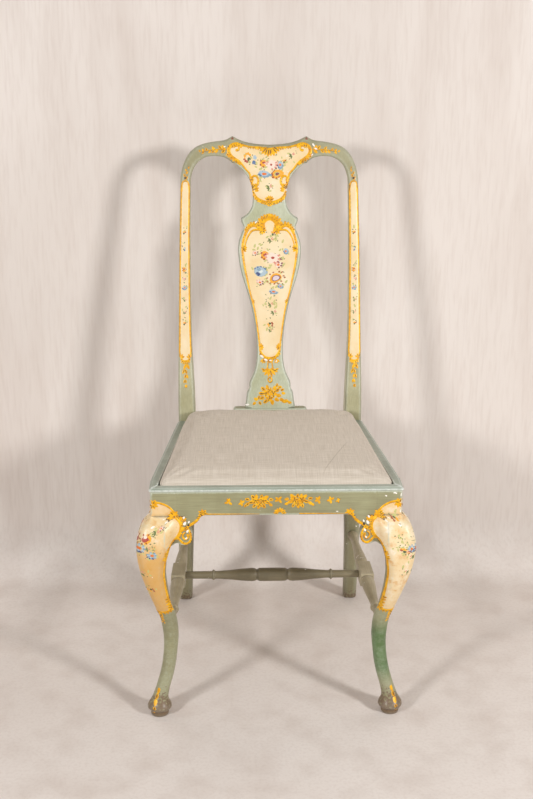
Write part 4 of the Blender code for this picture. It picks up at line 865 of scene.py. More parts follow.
# Flowers, from the lowest touch to the topmost: (count, first, sweep, start, length, width, paint, layer).
# Angles are in degrees and sizes are shares of the flower's radius; a start below 0 gives a round ground.
BLOOMS = {
    "rose": ((1, 0, 0, -0.95, 1.9, 1.7, "blush", 0.0), (5, 25, 360, 0.3, 0.62, 0.7, "shell", 0.2),
             (1, 40, 0, -0.6, 1.2, 1.1, "shell", 0.35), (4, -75, 130, 0.6, 0.44, 0.26, "rose", 0.45),
             (2, -40, 60, 0.74, 0.34, 0.26, "plum", 0.5), (2, 140, 70, 0.62, 0.36, 0.22, "rose", 0.45),
             (1, 20, 0, -0.2, 0.42, 0.36, "crimson", 0.65)),
    "amber_rose": ((1, 0, 0, -1.0, 2.0, 1.9, "amber", 0.0), (3, 150, 170, 0.6, 0.42, 0.4, "russet", 0.25),
                   (1, 30, 0, -0.2, 0.7, 0.6, "blush", 0.35), (2, 60, 200, 0.0, 0.4, 0.4, "crimson", 0.6)),
    "sky": ((1, 0, 0, -0.95, 1.9, 1.8, "sky", 0.0), (3, -95, 120, 0.45, 0.5, 0.6, "steel", 0.22),
            (2, 190, 60, 0.55, 0.42, 0.4, "cobalt", 0.25), (1, 0, 0, -0.36, 0.7, 0.55, "orange", 0.4)),
    "bell": ((1, 0, 0, -1.08, 2.16, 2.1, "steel", 0.0), (1, 0, 0, -0.88, 1.76, 1.7, "sky", 0.2),
             (1, 20, 0, -0.4, 0.9, 0.7, "mist", 0.36), (2, 100, 80, 0.1, 0.6, 0.3, "steel", 0.5),
             (4, 40, 150, 0.75, 0.26, 0.34, "cobalt", 0.3), (2, 215, 60, 0.35, 0.55, 0.42, "navy", 0.5)),
    "wheel": ((1, 0, 0, -0.9, 1.8, 1.75, "amber", 0.0), (12, 170, 360, 0.8, 0.26, 0.2, "russet", 0.2),
              (1, 0, 0, -0.5, 1.0, 0.94, "plum", 0.3), (1, 0, 0, -0.4, 0.8, 0.74, "lilac", 0.55)),
    "eye": ((1, 0, 0, -1.05, 2.1, 2.0, "russet", 0.0), (1, 0, 0, -0.95, 1.9, 1.8, "amber", 0.2),
            (4, 190, 150, 0.66, 0.34, 0.3, "russet", 0.35), (1, 0, 0, -0.5, 1.0, 0.9, "straw", 0.45),
            (1, 20, 0, -0.32, 0.64, 0.6, "plum", 0.7)),
    "bud": ((3, 60, 120, 0.0, 0.95, 0.6, "amber", 0.0), (2, 220, 60, 0.0, 0.7, 0.5, "forest", 0.1),
            (1, 30, 10, 0.1, 0.8, 0.5, "crimson", 0.15)),
    "crescent": ((5, 40, 190, 0.4, 0.65, 0.6, "amber", 0.0), (3, 200, 90, 0.5, 0.5, 0.4, "crimson", 0.12),
                 (2, 300, 70, 0.1, 0.65, 0.4, "forest", 0.1)),
    "bluet": ((3, 50, 60, 0.1, 1.0, 0.5, "sky", 0.0), (2, 250, 60, 0.0, 0.85, 0.55, "cobalt", 0.12)),
    "pink": ((1, 0, 0, -0.85, 1.7, 1.6, "shell", 0.0), (3, 280, 150, 0.5, 0.46, 0.4, "plum", 0.2),
             (3, 90, 150, 0.4, 0.5, 0.4, "blush", 0.2), (1, 90, 0, -0.32, 0.66, 0.6, "orange", 0.4)),
    "full_rose": ((1, 0, 0, -1.1, 2.2, 2.1, "russet", 0.0), (1, 0, 0, -0.92, 1.84, 1.74, "amber", 0.2),
                  (6, 0, 360, 0.55, 0.36, 0.2, "russet", 0.35), (1, 0, 0, -0.5, 1.0, 0.86, "crimson", 0.5),
                  (2, 75, 60, 0.12, 0.5, 0.34, "shell", 0.75)),
    "cornflower": ((7, 0, 360, 0.25, 0.8, 0.5, "steel", 0.0), (5, 30, 360, 0.3, 0.55, 0.36, "sky", 0.15),
                   (3, 200, 120, 0.62, 0.4, 0.3, "navy", 0.25), (1, 0, 0, -0.3, 0.6, 0.5, "orange", 0.4)),
    "sprig": ((2, 20, 80, 0.15, 0.9, 0.36, "rose", 0.0), (3, 150, 150, 0.05, 0.85, 0.42, "leaf", 0.1)),
    "berry": ((3, 330, 120, 0.3, 0.7, 0.5, "russet", 0.0), (2, 180, 90, 0.2, 0.7, 0.46, "amber", 0.1),
              (2, 100, 50, 0.0, 0.6, 0.46, "forest", 0.15)),
}

# Borders of the cream reserves on the back: right half, (across, height, width of the gilt line).
CREST_BORDER = [
    (0, 989.5, 7), (20, 993, 5), (38, 994.5, 3.2), (55, 998, 5), (67, 1000.5, 7), (78, 996, 7.5), (82, 987.5, 8),
    (78.5, 978, 7.5), (70, 971, 7), (59.5, 965, 5), (48, 951, 3.6), (40, 942, 4), (38, 932, 5), (36.5, 918, 6),
    (34.5, 909, 7.5), (29, 897, 7.5), (17.5, 888.5, 8), (0, 884.5, 8.5),
]
SPLAT_BORDER = [
    (0, 855.5, 11), (8, 853.5, 12), (15.5, 846.5, 14), (14.5, 835.5, 11), (21, 835.5, 7), (31, 841.5, 7.5),
    (42, 837, 7.5), (50, 822, 6), (55, 799, 5.4), (53.4, 776, 4.6), (50, 755, 4), (46.2, 737, 3.8), (41.6, 715, 3.6),
    (37, 697, 3.6), (31.5, 676, 3.4), (27, 650, 3.4), (22.5, 617, 3.6), (20.5, 602, 4.4), (18.5, 590, 5.4),
    (11, 580.5, 6), (0, 577.5, 6.5),
]
CREST_POSY = [
    ("amber_rose", -11, 963, 9.5, 1.0, 0), ("sky", 22, 959.5, 8.4, 0.85, 0), ("rose", 4, 960, 13, 1.05, 20),
    ("eye", 15.5, 941.5, 10.5, 1.15, 25), ("sky", -9.5, 941.5, 11.5, 1.3, -4),
    ("crescent", -44, 973.5, 10, 0.9, 0), ("bluet", -31, 968, 9.5, 0.9, 0), ("sprig", 45, 978, 8, 1.0, 0),
    ("bud", 30, 966, 5, 1.0, 0), ("sprig", 0, 915, 8, 1.0, 0),
]
SPLAT_POSY = [
    ("amber_rose", -9.5, 782, 10.5, 1.0, 0), ("rose", 6, 777, 15.5, 1.15, -15), ("bell", -18.6, 750, 12.6, 1.13, -20),
    ("wheel", 12.4, 737, 15.5, 1.25, 18), ("sky", 33.4, 790, 7, 0.9, 0), ("pink", -29.5, 787, 6.5, 1.0, 0),
    ("pink", 17.6, 764, 9, 1.1, 30), ("pink", -20, 729, 8, 1.2, -20), ("sky", 22, 721, 6.5, 1.15, -20),
    ("sky", 8.2, 710, 8, 1.3, -12), ("bud", 7.5, 825, 6.5, 1.0, 0), ("sprig", 2.4, 812, 7.5, 1.0, 0),
    ("sprig", 2.4, 684, 7, 1.0, 0), ("sprig", 8, 669, 7, 1.0, 0), ("berry", 1, 645, 8, 1.0, 0),
    ("sprig", 1, 633, 5, 1.0, 0),
]
SPLAT_BLOOMS = [(-8, 3, 9.5), (7, 2, 9.5), (-1, -8, 9), (0, 8, 7)]
SPLAT_SPRAY = [
    (-10, 7, 12, 135), (-12, 1, 12, 180), (-11, -5, 12, 205), (-5, -10, 12, 245), (4, -10, 12, 290),
    (9, -7, 12, 325), (12, -2, 12, 350), (11, 5, 12, 25), (6, 9, 11, 60), (-5, 9, 11, 115), (-24, -11, 10, 70),
    (-25, -12, 10, 130), (-29, -15, 9, 215), (-23, -14, 9, 290), (19, -9, 11, -20), (24, -11, 11, -50),
    (28, -13, 11, -20), (36, -16, 9, -25), (13, 14, 9, 65), (16, 15, 9, 20), (21, 8, 9, 25), (23, 3, 9, -25),
]
RAIL_BLOOMS = [(-6.5, 2, 8.4), (6.5, 1.5, 8.4), (0, -5.5, 7)]
RAIL_SPRAY = [
    (-8, 5, 10, 140), (-10, 0, 10, 185), (-6, -5, 9, 225), (0, -7, 8, 270), (6, -5, 9, 320), (10, 0, 10, 0),
    (8, 5, 10, 40), (2, 6, 8, 85), (-4, 6, 8, 100), (-17, 3, 9, 160), (-18, -2, 9, 200), (-23, -5, 7, 220),
    (16, 4, 9, 10), (17, -4, 8, 330),
]
# Chips down to the gesso on the back: (across, height, length, turn).
BACK_CHIPS = [
    (86, 1001, 8, -50), (90, 992, 7, -20), (84, 978, 5, 40), (-92, 994, 5, 20), (33, 908, 5, 80), (-20, 584, 9, -35),
    (-12, 576, 8, -20), (-2, 573, 6, 10), (12, 570, 5, 60), (-30, 846, 6, 30), (-50, 485, 8, 10),
]
# Panels of the stiles.
STILE_TOP = 927
STILE_BOTTOM = 575
STILE_MARGIN = 3.0
STILE_LINE = 4.0
STILE_POSY = [
    ("bud", 827, 4.6), ("bluet", 795, 4.2), ("amber_rose", 755, 5.6), ("pink", 737, 4), ("sky", 719, 5.6),
    ("sprig", 694, 4), ("sprig", 670, 4.2), ("bud", 648, 4.6),
]


def stile_course(name):
    """Middle line and half-width of a back stile's face: (height, across, half-width), in millimetres."""
    place = points_of(wood[name].data)[0] / MM
    course = []
    for z in range(STILE_BOTTOM - 80, int(CREST_JOINT / MM) - 3, 12):
        near = place[np.abs(place[:, 2] - z) < 2.5]
        course.append((z, (near[:, 0].max() + near[:, 0].min()) / 2, (near[:, 0].max() - near[:, 0].min()) / 2))
    return np.array(course)


def stile_outline(course):
    """Outline of the cream panel on a stile, round-shouldered at both ends."""
    rows = course[(course[:, 0] > STILE_BOTTOM + 8) & (course[:, 0] < STILE_TOP - 6)]
    right = [(c + h - STILE_MARGIN, z, STILE_LINE) for z, c, h in rows]
    left = [(c - h + STILE_MARGIN, z, STILE_LINE) for z, c, h in rows]
    top, bottom = rows[-1], rows[0]
    cap = [(top[1] + 4.5, STILE_TOP, 3), (top[1] - 4.5, STILE_TOP, 3)]
    toe = [(bottom[1] + 7 * side, STILE_BOTTOM + 2 - 3 * (side == 0), 4) for side in (-1, 0, 1)]
    return right + cap + left[::-1] + toe


def decorate_back():
    """Cartouche on the crest, vase reserve on the splat and the panels of both stiles."""
    panel = Panel(on_back)
    courses = {name: stile_course(name) for name in ("left_rear_post", "right_rear_post")}
    borders = [mirrored(CREST_BORDER), mirrored(SPLAT_BORDER)]
    borders += [stile_outline(course) for course in courses.values()]
    outlines = [curve_through(border, 3.0, closed=True)[:, :2] for border in borders]
    for name in ("crest_rail", "back_splat", "left_rear_post", "right_rear_post"):
        place, outward = points_of(wood[name].data)
        depth = np.max([inside_by(place[:, ::2] / MM, outline) for outline in outlines], axis=0)
        mark_reserve(wood[name].data, np.where(outward[:, 1] < -0.1, depth, -20))
    for border in borders[:2]:
        panel.line(border, closed=True)
    for shell in ((0, 1000, 8, 17, 7.5, 215, 325, 8), (0, 889, 0, 11, 5, 30, 150, 6),
                  (0, 885, 0, 7.5, 6, 215, 325, 5), (0, 558, 1, 17, 6.4, 205, 335, 6),
                  (0, 575, 0, 7.5, 4.6, 200, 340, 5)):
        panel.fan(*shell)
    panel.scroll(0, 535.5, 4.6, 5.4, 90, 350, 3.2)
    panel.gilt_spray(0, 506, SPLAT_BLOOMS, SPLAT_SPRAY)
    for side in (-1, 1):
        decorate_half(panel, side)
    for u, v, length, turn in BACK_CHIPS:
        panel.touch(u, v, length, length * 0.45, turn, 0.1, "gesso", 0.85)
    for u, v, size, count in ((0, 955, 26, 26), (0, 800, 26, 18), (2, 745, 30, 36), (3, 690, 16, 14)):
        panel.leaves(u, v, size, count)
    for kind, u, v, size, oval, tilt in CREST_POSY + SPLAT_POSY:
        panel.leaves(u, v, size * 1.3, 6)
        panel.bloom(kind, u, v, size, oval, tilt)
    for course, outline in zip(courses.values(), borders[2:]):
        decorate_stile(panel, course, outline)
    panel.finish("back")


def decorate_half(panel, side):
    """Gilding beside the middle line of crest and splat, on the right (1) or the left (-1)."""
    turn = 0 if side > 0 else 180
    # Crest: ruffled corners and lobes, C-scrolls at the neck with a leaf below each.
    panel.frill(to_side(side, (22, 993), (32, 995), (42, 996)), 5, 4, 4, -side)
    panel.frill(to_side(side, (56, 998), (66, 1000.5), (75, 998)), 6, 5.4, 4.6, -side)
    panel.frill(to_side(side, (82, 981), (76, 973.5), (66, 968.5), (58, 963.5)), 6, 5, 4.8, side)
    panel.frill(to_side(side, (36.5, 911), (32, 900), (22, 890.5), (8, 885.5)), 4.5, 5, 5, side)
    panel.scroll(66 * side, 992, 5.5, 5.5, turn + 20 * side, 250 * side, 4)
    panel.scroll(30 * side, 927, 8.2, 11.5, 90 - 50 * side, 340 * side, 5.6)
    panel.fan(36.5 * side, 910, 0, 16, 7, turn + 105 * side, turn + 185 * side, 5)
    # Splat: arched shell over the middle, ruffled wings, leaves at the sides and the lower corners.
    panel.frill(to_side(side, (0.5, 858), (9, 856.5), (18, 850.5), (20.5, 841)), 6.5, 6, 4.4, side)
    panel.frill(to_side(side, (23, 838), (32, 844), (41, 840), (47, 831)), 5, 5.4, 4.6, side)
    panel.line(to_side(side, (14, 830.5, 5), (24, 832.5, 4.4), (36, 830, 4), (45.5, 816.5, 3.6), (50.5, 800, 2.6)),
               relief=LINE_RELIEF)
    for u, v, length, width, first, last, count in (
            (15.5, 832, 9.5, 5.6, 150, 300, 5), (57, 796, 12, 5.4, 150, 215, 4), (37, 690, 7, 3.8, 120, 200, 3),
            (20.5, 600, 8.5, 5, 80, 220, 5)):
        panel.fan(u * side, v, 0, length, width, turn + first * side, turn + last * side, count)
    panel.frill(to_side(side, (18, 588), (10, 580), (3, 578)), 4.5, 4.6, 4.6, side)
    panel.fan(13 * side, 576, 0, 9, 4.6, turn - 110 * side, turn - 40 * side, 3)
    panel.line(to_side(side, (4, 574, 2.4), (4.5, 565, 2.6), (6, 557, 3.4)))
    panel.flute(9 * side, 552, 11, 5.2, turn + 35 * side)
    # Gilt sprays that run out along the crest.
    for k in range(8):
        u, v = (89 + 7 * k) * side, 989.5 - 0.11 * k * k
        for sway in (50, -45) if k % 3 == 0 else (50,) if k % 2 else (-45,):
            panel.flute(u, v, 11 - 0.7 * k, 6.6 - 0.4 * k, turn + sway * side)
    panel.line(to_side(side, (86, 989.5, 2.6), (110, 989.5, 2), (136, 985.5, 1.2)), relief=LINE_RELIEF)
    # Ears rubbed through to the bare wood.
    panel.touch(74.5 * side, 1006.5, 9, 8, 90, 0.9, "bare")


def decorate_stile(panel, course, outline):
    """Thin gilt line, leaves at both ends and a string of flowers on one back stile."""
    panel.line(outline, closed=True, relief=LINE_RELIEF)
    side = 1 if course[0, 1] > 0 else -1
    foot, head = np.interp((STILE_BOTTOM, STILE_TOP), course[:, 0], course[:, 1])
    panel.fan(foot, STILE_BOTTOM + 3, 5, 7, 4, 190, 350, 7)
    for end in (-1, 1):
        panel.fan(foot + 10 * end, STILE_BOTTOM + 5, 0, 9, 4.6, 90 - 10 * end, 90 + 70 * end, 3)
        panel.flute(head + 7.5 * end, STILE_TOP - 2, 20, 4.6, 270 - 2 * end)
        for k in range(5):
            u = foot + (2 - 4 * (k % 2)) * (1 - 0.15 * k)
            panel.flute(u, STILE_BOTTOM - 7 - 10 * k, 12 - 1.2 * k, 6.4 - 0.6 * k, 270 + (30 - 4 * k) * end)
    for k in range(5):
        panel.flute(head - side * 0.35 * k * k, STILE_TOP + 3 + 5.5 * k, 9 - 0.9 * k, 5 - 0.5 * k,
                    90 + (30 if k % 2 else -30))
    panel.touch(head - 2, STILE_TOP + 7, 4.4, 4, 0, 0.3, "soot", GILT_RELIEF)
    for kind, v, size in STILE_POSY:
        u = np.interp(v, course[:, 0], course[:, 1]) + panel.chance.uniform(-1, 1)
        panel.leaves(u, v + 6, 5, 5)
        panel.bloom(kind, u, v, size)


decorate_back()


# Front legs: a place is (distance round from the leg's outer edge, height); on the brackets the distance
# is counted from the corner of the block above. All in millimetres.

KNEE_FOOT = 212
KNEE_MARGIN = 1.5
BRACKET_FOOT = 345
BRACKET_FADE = 8
LUNETTE_WIDE = 42
LUNETTE_TALL = 27
SEAM = RAIL_UNDERSIDE / MM
BLOCK_CORNER = FRONT_HALF / MM
# Cream on a bracket, (height, reach), and the gilt lines along it, (reach, height, width).
CREAM_ON_BRACKET = [(346, 33), (354, 37.5), (361, 44), (366, 48), (374, 51.5), (384, 52.5), (392, 50), (398, 45),
                    (402, 43)]
BRACKET_RAILWARD = [(93, 406, 8), (88, 400, 6), (82, 391.5, 5), (76, 386.5, 4.4), (69.5, 382.5, 4.4),
                    (64.5, 378, 4.6)]
BRACKET_SCROLL = [(64.5, 378, 4.4), (68.5, 371, 4.4), (70.5, 362, 5), (69, 353, 5.4), (62.5, 348, 6),
                  (55.5, 350.5, 5), (50, 357, 4.4), (45.5, 361, 4.6), (40, 357, 4.8), (35, 351, 5), (31.5, 345, 5),
                  (29.6, 337, 4.6)]
# Heights of the gilt line on the inner edge of the knee's cream, with its width there.
KNEE_EDGE = [(216, 7), (228, 6), (240, 4.4), (270, 3.4), (300, 3.4), (325, 4), (338, 4.6)]
KNEE_POSY = {
    "left": [("cornflower", 8, 351, 10.5, 1.1, -20), ("cornflower", 29, 338, 9.5, 1.15, -6),
             ("full_rose", 14, 367, 11.5, 1.0, 0), ("sprig", 30, 378, 7, 1.0, 60), ("sprig", 22, 350, 6, 1.0, 0),
             ("pink", 36, 385, 5, 1.0, 0), ("berry", 12, 264, 7, 1.0, 0), ("sprig", 5, 300, 6, 1.0, 0)],
    "right": [("cornflower", 10, 346, 8.5, 1.0, 0), ("amber_rose", 15, 341, 6, 1.2, 0),
              ("bud", 24, 343, 8, 1.3, 10), ("sprig", 8, 330, 6, 1.0, 0), ("berry", 20, 396, 7, 1.0, 0),
              ("sprig", 12, 300, 5, 1.0, 0)],
}
# Old varnish on the cream, which on the left knee also stands for painted shade, (height, share), and the stretch of
# the right leg that was painted afresh.
KNEE_TONE = {"left": [(205, 0.9), (330, 0.85), (362, 0.3), (385, 0.1), (401, 0.1), (403, 0.45), (440, 0.45)],
             "right": [(205, 0.35), (260, 0.12), (401, 0.05), (403, 0.3), (440, 0.3)]}
FRESH_TOP, FRESH_TOP_FADE = 194, 34
FRESH_FOOT, FRESH_FOOT_FADE = 60, 30
CORNER_CHIPS = [(2.6, 404, 8, 90), (2.4, 414, 7, 90), (2.8, 423, 9, 88), (2.6, 435, 8, 92), (9, 441, 7, 20),
                (17, 442, 6, 160), (27, 436, 5, 30)]


class LegEdges:
    """A leg's outermost and foremost places and its width at each height, in millimetres."""

    def __init__(self, hand):
        place = points_of(wood[hand + "_leg"].data)[0] / MM
        self.heights = np.arange(190, SEAM + 36, 4.0)
        rows = [place[np.abs(place[:, 2] - z) < 2.5] for z in self.heights]
        self.outer = [np.abs(row[:, 0]).max() for row in rows]
        self.front = [row[:, 1].min() for row in rows]
        self.width = [np.abs(row[:, 0]).max() - np.abs(row[:, 0]).min() for row in rows]

    def at(self, what, z):
        """The outer, front or width value at a height."""
        return np.interp(z, self.heights, getattr(self, what))

    def limit(self, z):
        """How far round the cream runs: over the whole leg, and above its knee on to the bracket."""
        heights, reach = np.array(CREAM_ON_BRACKET, float).T
        on_bracket = np.interp(z, heights, reach) + self.at("outer", z) - BLOCK_CORNER
        on_leg = self.at("width", np.minimum(z, BRACKET_FOOT - BRACKET_FADE)) - KNEE_MARGIN
        share = np.clip((z - BRACKET_FOOT + BRACKET_FADE) / BRACKET_FADE, 0, 1)
        return on_leg * (1 - share) + on_bracket * share


def mark_knee(hand, edges):
    """Cream on the knee, over the brackets' inner ends and in the lunette on the square block."""
    mesh = wood[hand + "_leg"].data
    place = points_of(mesh)[0] / MM
    height = place[:, 2]
    round_from = np.maximum(edges.at("outer", height) - np.abs(place[:, 0]),
                            place[:, 1] - edges.at("front", height))
    knee = np.minimum(edges.limit(height) - round_from, SEAM - height)
    knee = np.minimum(knee, height - KNEE_FOOT - 0.2 * round_from)
    share = np.clip((height - SEAM) / LUNETTE_TALL, 0, 1)
    lunette = LUNETTE_WIDE * np.sqrt(1 - share ** 2) - round_from
    lunette = np.minimum(lunette, np.minimum(height - SEAM, SEAM + LUNETTE_TALL - height))
    mark_reserve(mesh, np.maximum(knee, lunette))
    mark(mesh, "varnish", np.interp(height, *np.array(KNEE_TONE[hand]).T))
    mark(mesh, "repaint", np.clip((FRESH_TOP - height) / FRESH_TOP_FADE, 0, 1)
         * np.clip((height - FRESH_FOOT) / FRESH_FOOT_FADE, 0, 1) * (hand == "right"))


def decorate_knee(panel, edges, posy):
    """One face of a front leg: lunette, flowers on the knee and the gilt edges of its cream."""
    panel.line([(LUNETTE_WIDE * c, SEAM + LUNETTE_TALL * s, 4) for c, s in map(heading, (2, 20, 38, 56, 74, 86))])
    panel.fan(LUNETTE_WIDE - 1, SEAM + 2, 0, 9.5, 5.4, 0, 315, 8)
    panel.fan(5, SEAM + LUNETTE_TALL - 5, 0, 10, 5.6, -160, 110, 7)
    joint = curve_through([(2, SEAM, 1.1), (22, SEAM - 0.4, 1.1), (36, SEAM, 1.0)])
    stroke(panel.paint, panel.face, joint, 0.1, "soot")
    inner = [(edges.limit(z) - 1.2, z, width) for z, width in KNEE_EDGE]
    panel.line(inner)
    panel.frill(inner[:3], 6, 4.6, 4.4, 1)
    panel.frill(inner[-2:], 6, 4.6, 4.4, 1)
    foot = edges.limit(KNEE_FOOT)
    panel.line([(foot, KNEE_FOOT + 4, 6), (foot * 0.6, KNEE_FOOT + 1, 4.4), (3, KNEE_FOOT, 4)])
    panel.frill([(foot, KNEE_FOOT + 3), (foot * 0.5, KNEE_FOOT), (3, KNEE_FOOT - 1)], 5, 4.4, 4.4, 1)
    for k in range(4):
        panel.flute(3.5, KNEE_FOOT - 3 - 6.5 * k, 8 - k, 4.4 - 0.5 * k, 264)
    panel.leaves(24, 380, 16, 10)
    panel.leaves(14, 350, 19, 26)
    for kind, s, z, size, oval, tilt in posy:
        panel.leaves(s + 3, z, size * 1.4, 6)
        panel.bloom(kind, s, z, size, oval, tilt)
    # White gesso touches above the rose: partly chips down to the gesso, partly a painted highlight where the knee
    # catches the lamp.
    for s, z, size in ((36, 391, 6), (16, 384, 9), (28, 396, 4)):
        panel.touch(s, z, size, size * 0.6, 35, 0.3, "gesso")


def decorate_bracket(panel):
    """Gilt rocaille on one knee bracket, chipped down to the gesso here and there."""
    cream_edge = [(t, z, 4.2) for z, t in CREAM_ON_BRACKET[2:]]
    for line in (BRACKET_RAILWARD, BRACKET_SCROLL, cream_edge):
        panel.line(line)
    panel.frill(BRACKET_RAILWARD, 4.5, 4.6, 4.6, -1)
    panel.frill(cream_edge, 5.5, 5, 4.8, -1)
    panel.fan(92, 406, 0, 9, 5, 0, 300, 7)
    panel.scroll(61, 363, 5.5, 7, 90, 290, 4)
    panel.fan(59, 374, 0, 8, 4.8, 20, 160, 4)
    panel.fan(55, 393, 0, 9, 5, -20, 110, 4)
    for t, z, size in ((58, 384, 8), (63, 370, 6), (57, 396, 6), (61, 357, 5), (66, 388, 5)):
        panel.touch(t, z, size, size * 0.62, 60, 0.3, "gesso", GILT_RELIEF)
    panel.touch(66, 382, 5, 4, 80, 0.2, "soot", GILT_RELIEF)


def decorate_leg(hand):
    """Knee, lunette, brackets and foot of one front leg, alike on its front and its outer side."""
    side = -1 if hand == "left" else 1
    edges = LegEdges(hand)
    mark_knee(hand, edges)
    names = (hand + "_leg", hand + "_seat_rail", "front_seat_rail")
    ahead = facing(names, (1, 0, 0), (0, 1, 0))
    beside = facing(names, (0, 1, 0), (-side, 0, 0))

    def front(s, z):
        return ahead(side * (edges.at("outer", z) - s), z)

    def flank(s, z):
        return beside(edges.at("front", z) + s, z)

    def front_bracket(t, z):
        return ahead(side * (BLOCK_CORNER - t), z)

    def side_bracket(t, z):
        return beside(RAIL_FACE / MM + t, z)

    front.outward = front_bracket.outward = ahead.outward
    flank.outward = side_bracket.outward = beside.outward
    panel = Panel(front, 11 + side)
    for knee, bracket in ((front, front_bracket), (flank, side_bracket)):
        panel.face = knee
        decorate_knee(panel, edges, KNEE_POSY[hand])
        panel.face = bracket
        decorate_bracket(panel)
    panel.face = ahead
    for x, z, length in ((214, 58, 13), (217, 48, 13), (220, 37, 13), (222, 26, 12), (223, 16, 8)):
        panel.flute(side * x, z, length, length * 0.6, 270 + 14 * side)
    if hand == "right":
        panel.face = front
        for s, z, length, turn in CORNER_CHIPS:
            panel.touch(s, z, length, 3.2, turn, 0.25, "gesso")
    panel.finish(hand + "_leg")


for hand in ("left", "right"):
    decorate_leg(hand)


def decorate_rail():
    """Gilt bunches and single flowers along the front rail, and the line along its lower edge."""
    panel = Panel(on_rail)
    for u, v, side in ((-30, 428, 1), (38, 429, -1)):
        panel.gilt_spray(u, v, RAIL_BLOOMS, RAIL_SPRAY, side)
    for u, v, size in ((-84, 427, 8), (-61, 425.5, 7), (4, 431, 8), (74, 430, 8), (95, 430, 7.5), (108, 429, 5)):
        for turn in (60, 120, 200, 300):
            panel.flute(u, v, size, size * 0.62, turn + panel.chance.uniform(-25, 25), veined=0)
    panel.fan(6, SEAM + 3, 3, 9, 5, 10, 170, 7)
    for start, end in ((-127, -30), (40, 127)):
        panel.line([(start, SEAM + 3.2, 2.4), ((start + end) / 2, SEAM + 3, 1.8), (end, SEAM + 3, 0.9)],
                   relief=LINE_RELIEF)
    panel.finish("front_rail")


decorate_rail()


# Drop-in seat

def lay_threads(bm, flat):
    """Writes the map that a weave follows: flat gives a point's place on the cloth laid out, in metres."""
    layer = bm.loops.layers.uv.new("weave")
    for face in bm.faces:
        for loop in face.loops:
            loop[layer].uv = flat(loop.vert.co)


def swelled(made, rim):
    """Places of the cover's points when its stuffing presses it out above the rim, a little at most."""
    before = points_of(made.data)[0]
    held = made.vertex_groups.new(name="held")
    held.add([i for i, co in enumerate(before) if co[2] < rim], 1.0, "ADD")
    cloth = made.modifiers.new("cloth", "CLOTH")
    cloth.settings.use_pressure = True
    cloth.settings.uniform_pressure_force = LINEN_PRESSURE
    cloth.settings.vertex_group_mass = "held"
    cloth.settings.tension_stiffness = LINEN_TENSION
    cloth.settings.bending_stiffness = LINEN_BENDING
    cloth.settings.effector_weights.gravity = 0
    for step in range(1, LINEN_STEPS + 1):
        scene.frame_set(step)
    pressed = made.evaluated_get(bpy.context.evaluated_depsgraph_get())
    move = points_of(pressed.to_mesh())[0] - before
    pressed.to_mesh_clear()
    made.modifiers.remove(cloth)
    made.vertex_groups.remove(held)
    scene.frame_set(1)
    length = np.maximum(np.linalg.norm(move, axis=1, keepdims=True), 1e-9)
    return before + move * np.minimum(1, LINEN_SWELL / length)


def linen_seat():
    """Linen drawn tight over its stuffing: swelled by a cloth simulation, open and turned under below."""
    bm = copy_of("linen_cover")
    hull = bmesh.ops.convex_hull(bm, input=bm.verts)
    extra = {g for g in hull["geom_interior"] + hull["geom_unused"] if isinstance(g, bmesh.types.BMVert)}
    bmesh.ops.delete(bm, geom=list(extra), context="VERTS")
    kept = set(hull["geom"])
    bmesh.ops.delete(bm, geom=[f for f in bm.faces if f not in kept], context="FACES")
    low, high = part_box("linen_cover")
    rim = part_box("front_rim_moulding")[1].z
    grid = regrid(bm, LINEN_GRID)
    ease(grid, 3)
    crown = [v for v in grid.verts if v.co.z > rim]
    ease(grid, LINEN_ROUNDING, crown)
    for vert in crown:
        back = (vert.co.y - low.y) / (high.y - low.y)
        vert.co.z = rim + (vert.co.z - rim) * (LINEN_FRONT_SHARE + (1 - LINEN_FRONT_SHARE) * min(1, 1.25 * back))
    made = new_object("linen_drop_in_cover", grid, LINEN)
    bm = bmesh.new()
    bm.from_mesh(made.data)
    for vert, co in zip(bm.verts, swelled(made, rim)):
        vert.co = co
    bm.normal_update()
    under = [f for f in bm.faces if f.calc_center_median().z < low.z + LINEN_UNDERSIDE and f.normal.z < -0.6]
    bmesh.ops.delete(bm, geom=under, context="FACES")
    rims = [e for e in bm.edges if e.is_boundary]
    turned = [g for g in bmesh.ops.extrude_edge_only(bm, edges=rims)["geom"] if isinstance(g, bmesh.types.BMVert)]
    half = (high - low) / 2
    shrink = (1 - LINEN_TURN_UNDER / half.x, 1 - LINEN_TURN_UNDER / half.y, 1)
    bmesh.ops.scale(bm, vec=shrink, verts=turned, space=Matrix.Translation(-(low + high) / 2))
    for vert in turned:
        vert.co.z = low.z + LINEN_THICK
    bmesh.ops.recalc_face_normals(bm, faces=bm.faces)

    def down_the_sides(co):
        # Threads that leave the top run on down the sides.
        fall = min(0, co.z - rim)
        return co.x - math.copysign(fall, co.x), co.y - math.copysign(fall, co.y)

    lay_threads(bm, down_the_sides)
    for face in bm.faces:
        face.smooth = True
    bm.to_mesh(made.data)
    bm.free()
    thick = made.modifiers.new("thickness", "SOLIDIFY")
    thick.thickness = LINEN_THICK
    thick.offset = -1
    finer = made.modifiers.new("finer", "SUBSURF")
    finer.levels = 1
    finer.render_levels = 1
    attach(made, "drop_in_seat")
    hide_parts("linen_cover", "seat_stuffing")


linen_seat()


def strap(name):
    """One webbing strap with rounded selvedges, woven along its length."""
    bm = copy_of(name)
    low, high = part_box(name)
    middle = (low + high) / 2
    size = high - low
    bmesh.ops.dissolve_limit(bm, angle_limit=math.radians(1), verts=bm.verts, edges=bm.edges)
    sharp = [e for e in bm.edges if len(e.link_faces) == 2 and e.calc_face_angle(0) > math.radians(60)]
    bmesh.ops.bevel(bm, geom=sharp, offset=0.0004, offset_type="OFFSET", affect="EDGES", segments=2, profile=0.5,
                    material=-1)
    lay_threads(bm, lambda co: (co - middle).yx if size.y > size.x else (co - middle).xy)
    made = piece("woven_" + name, bm, JUTE, "drop_in_seat", smooth=False)
    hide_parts(name)


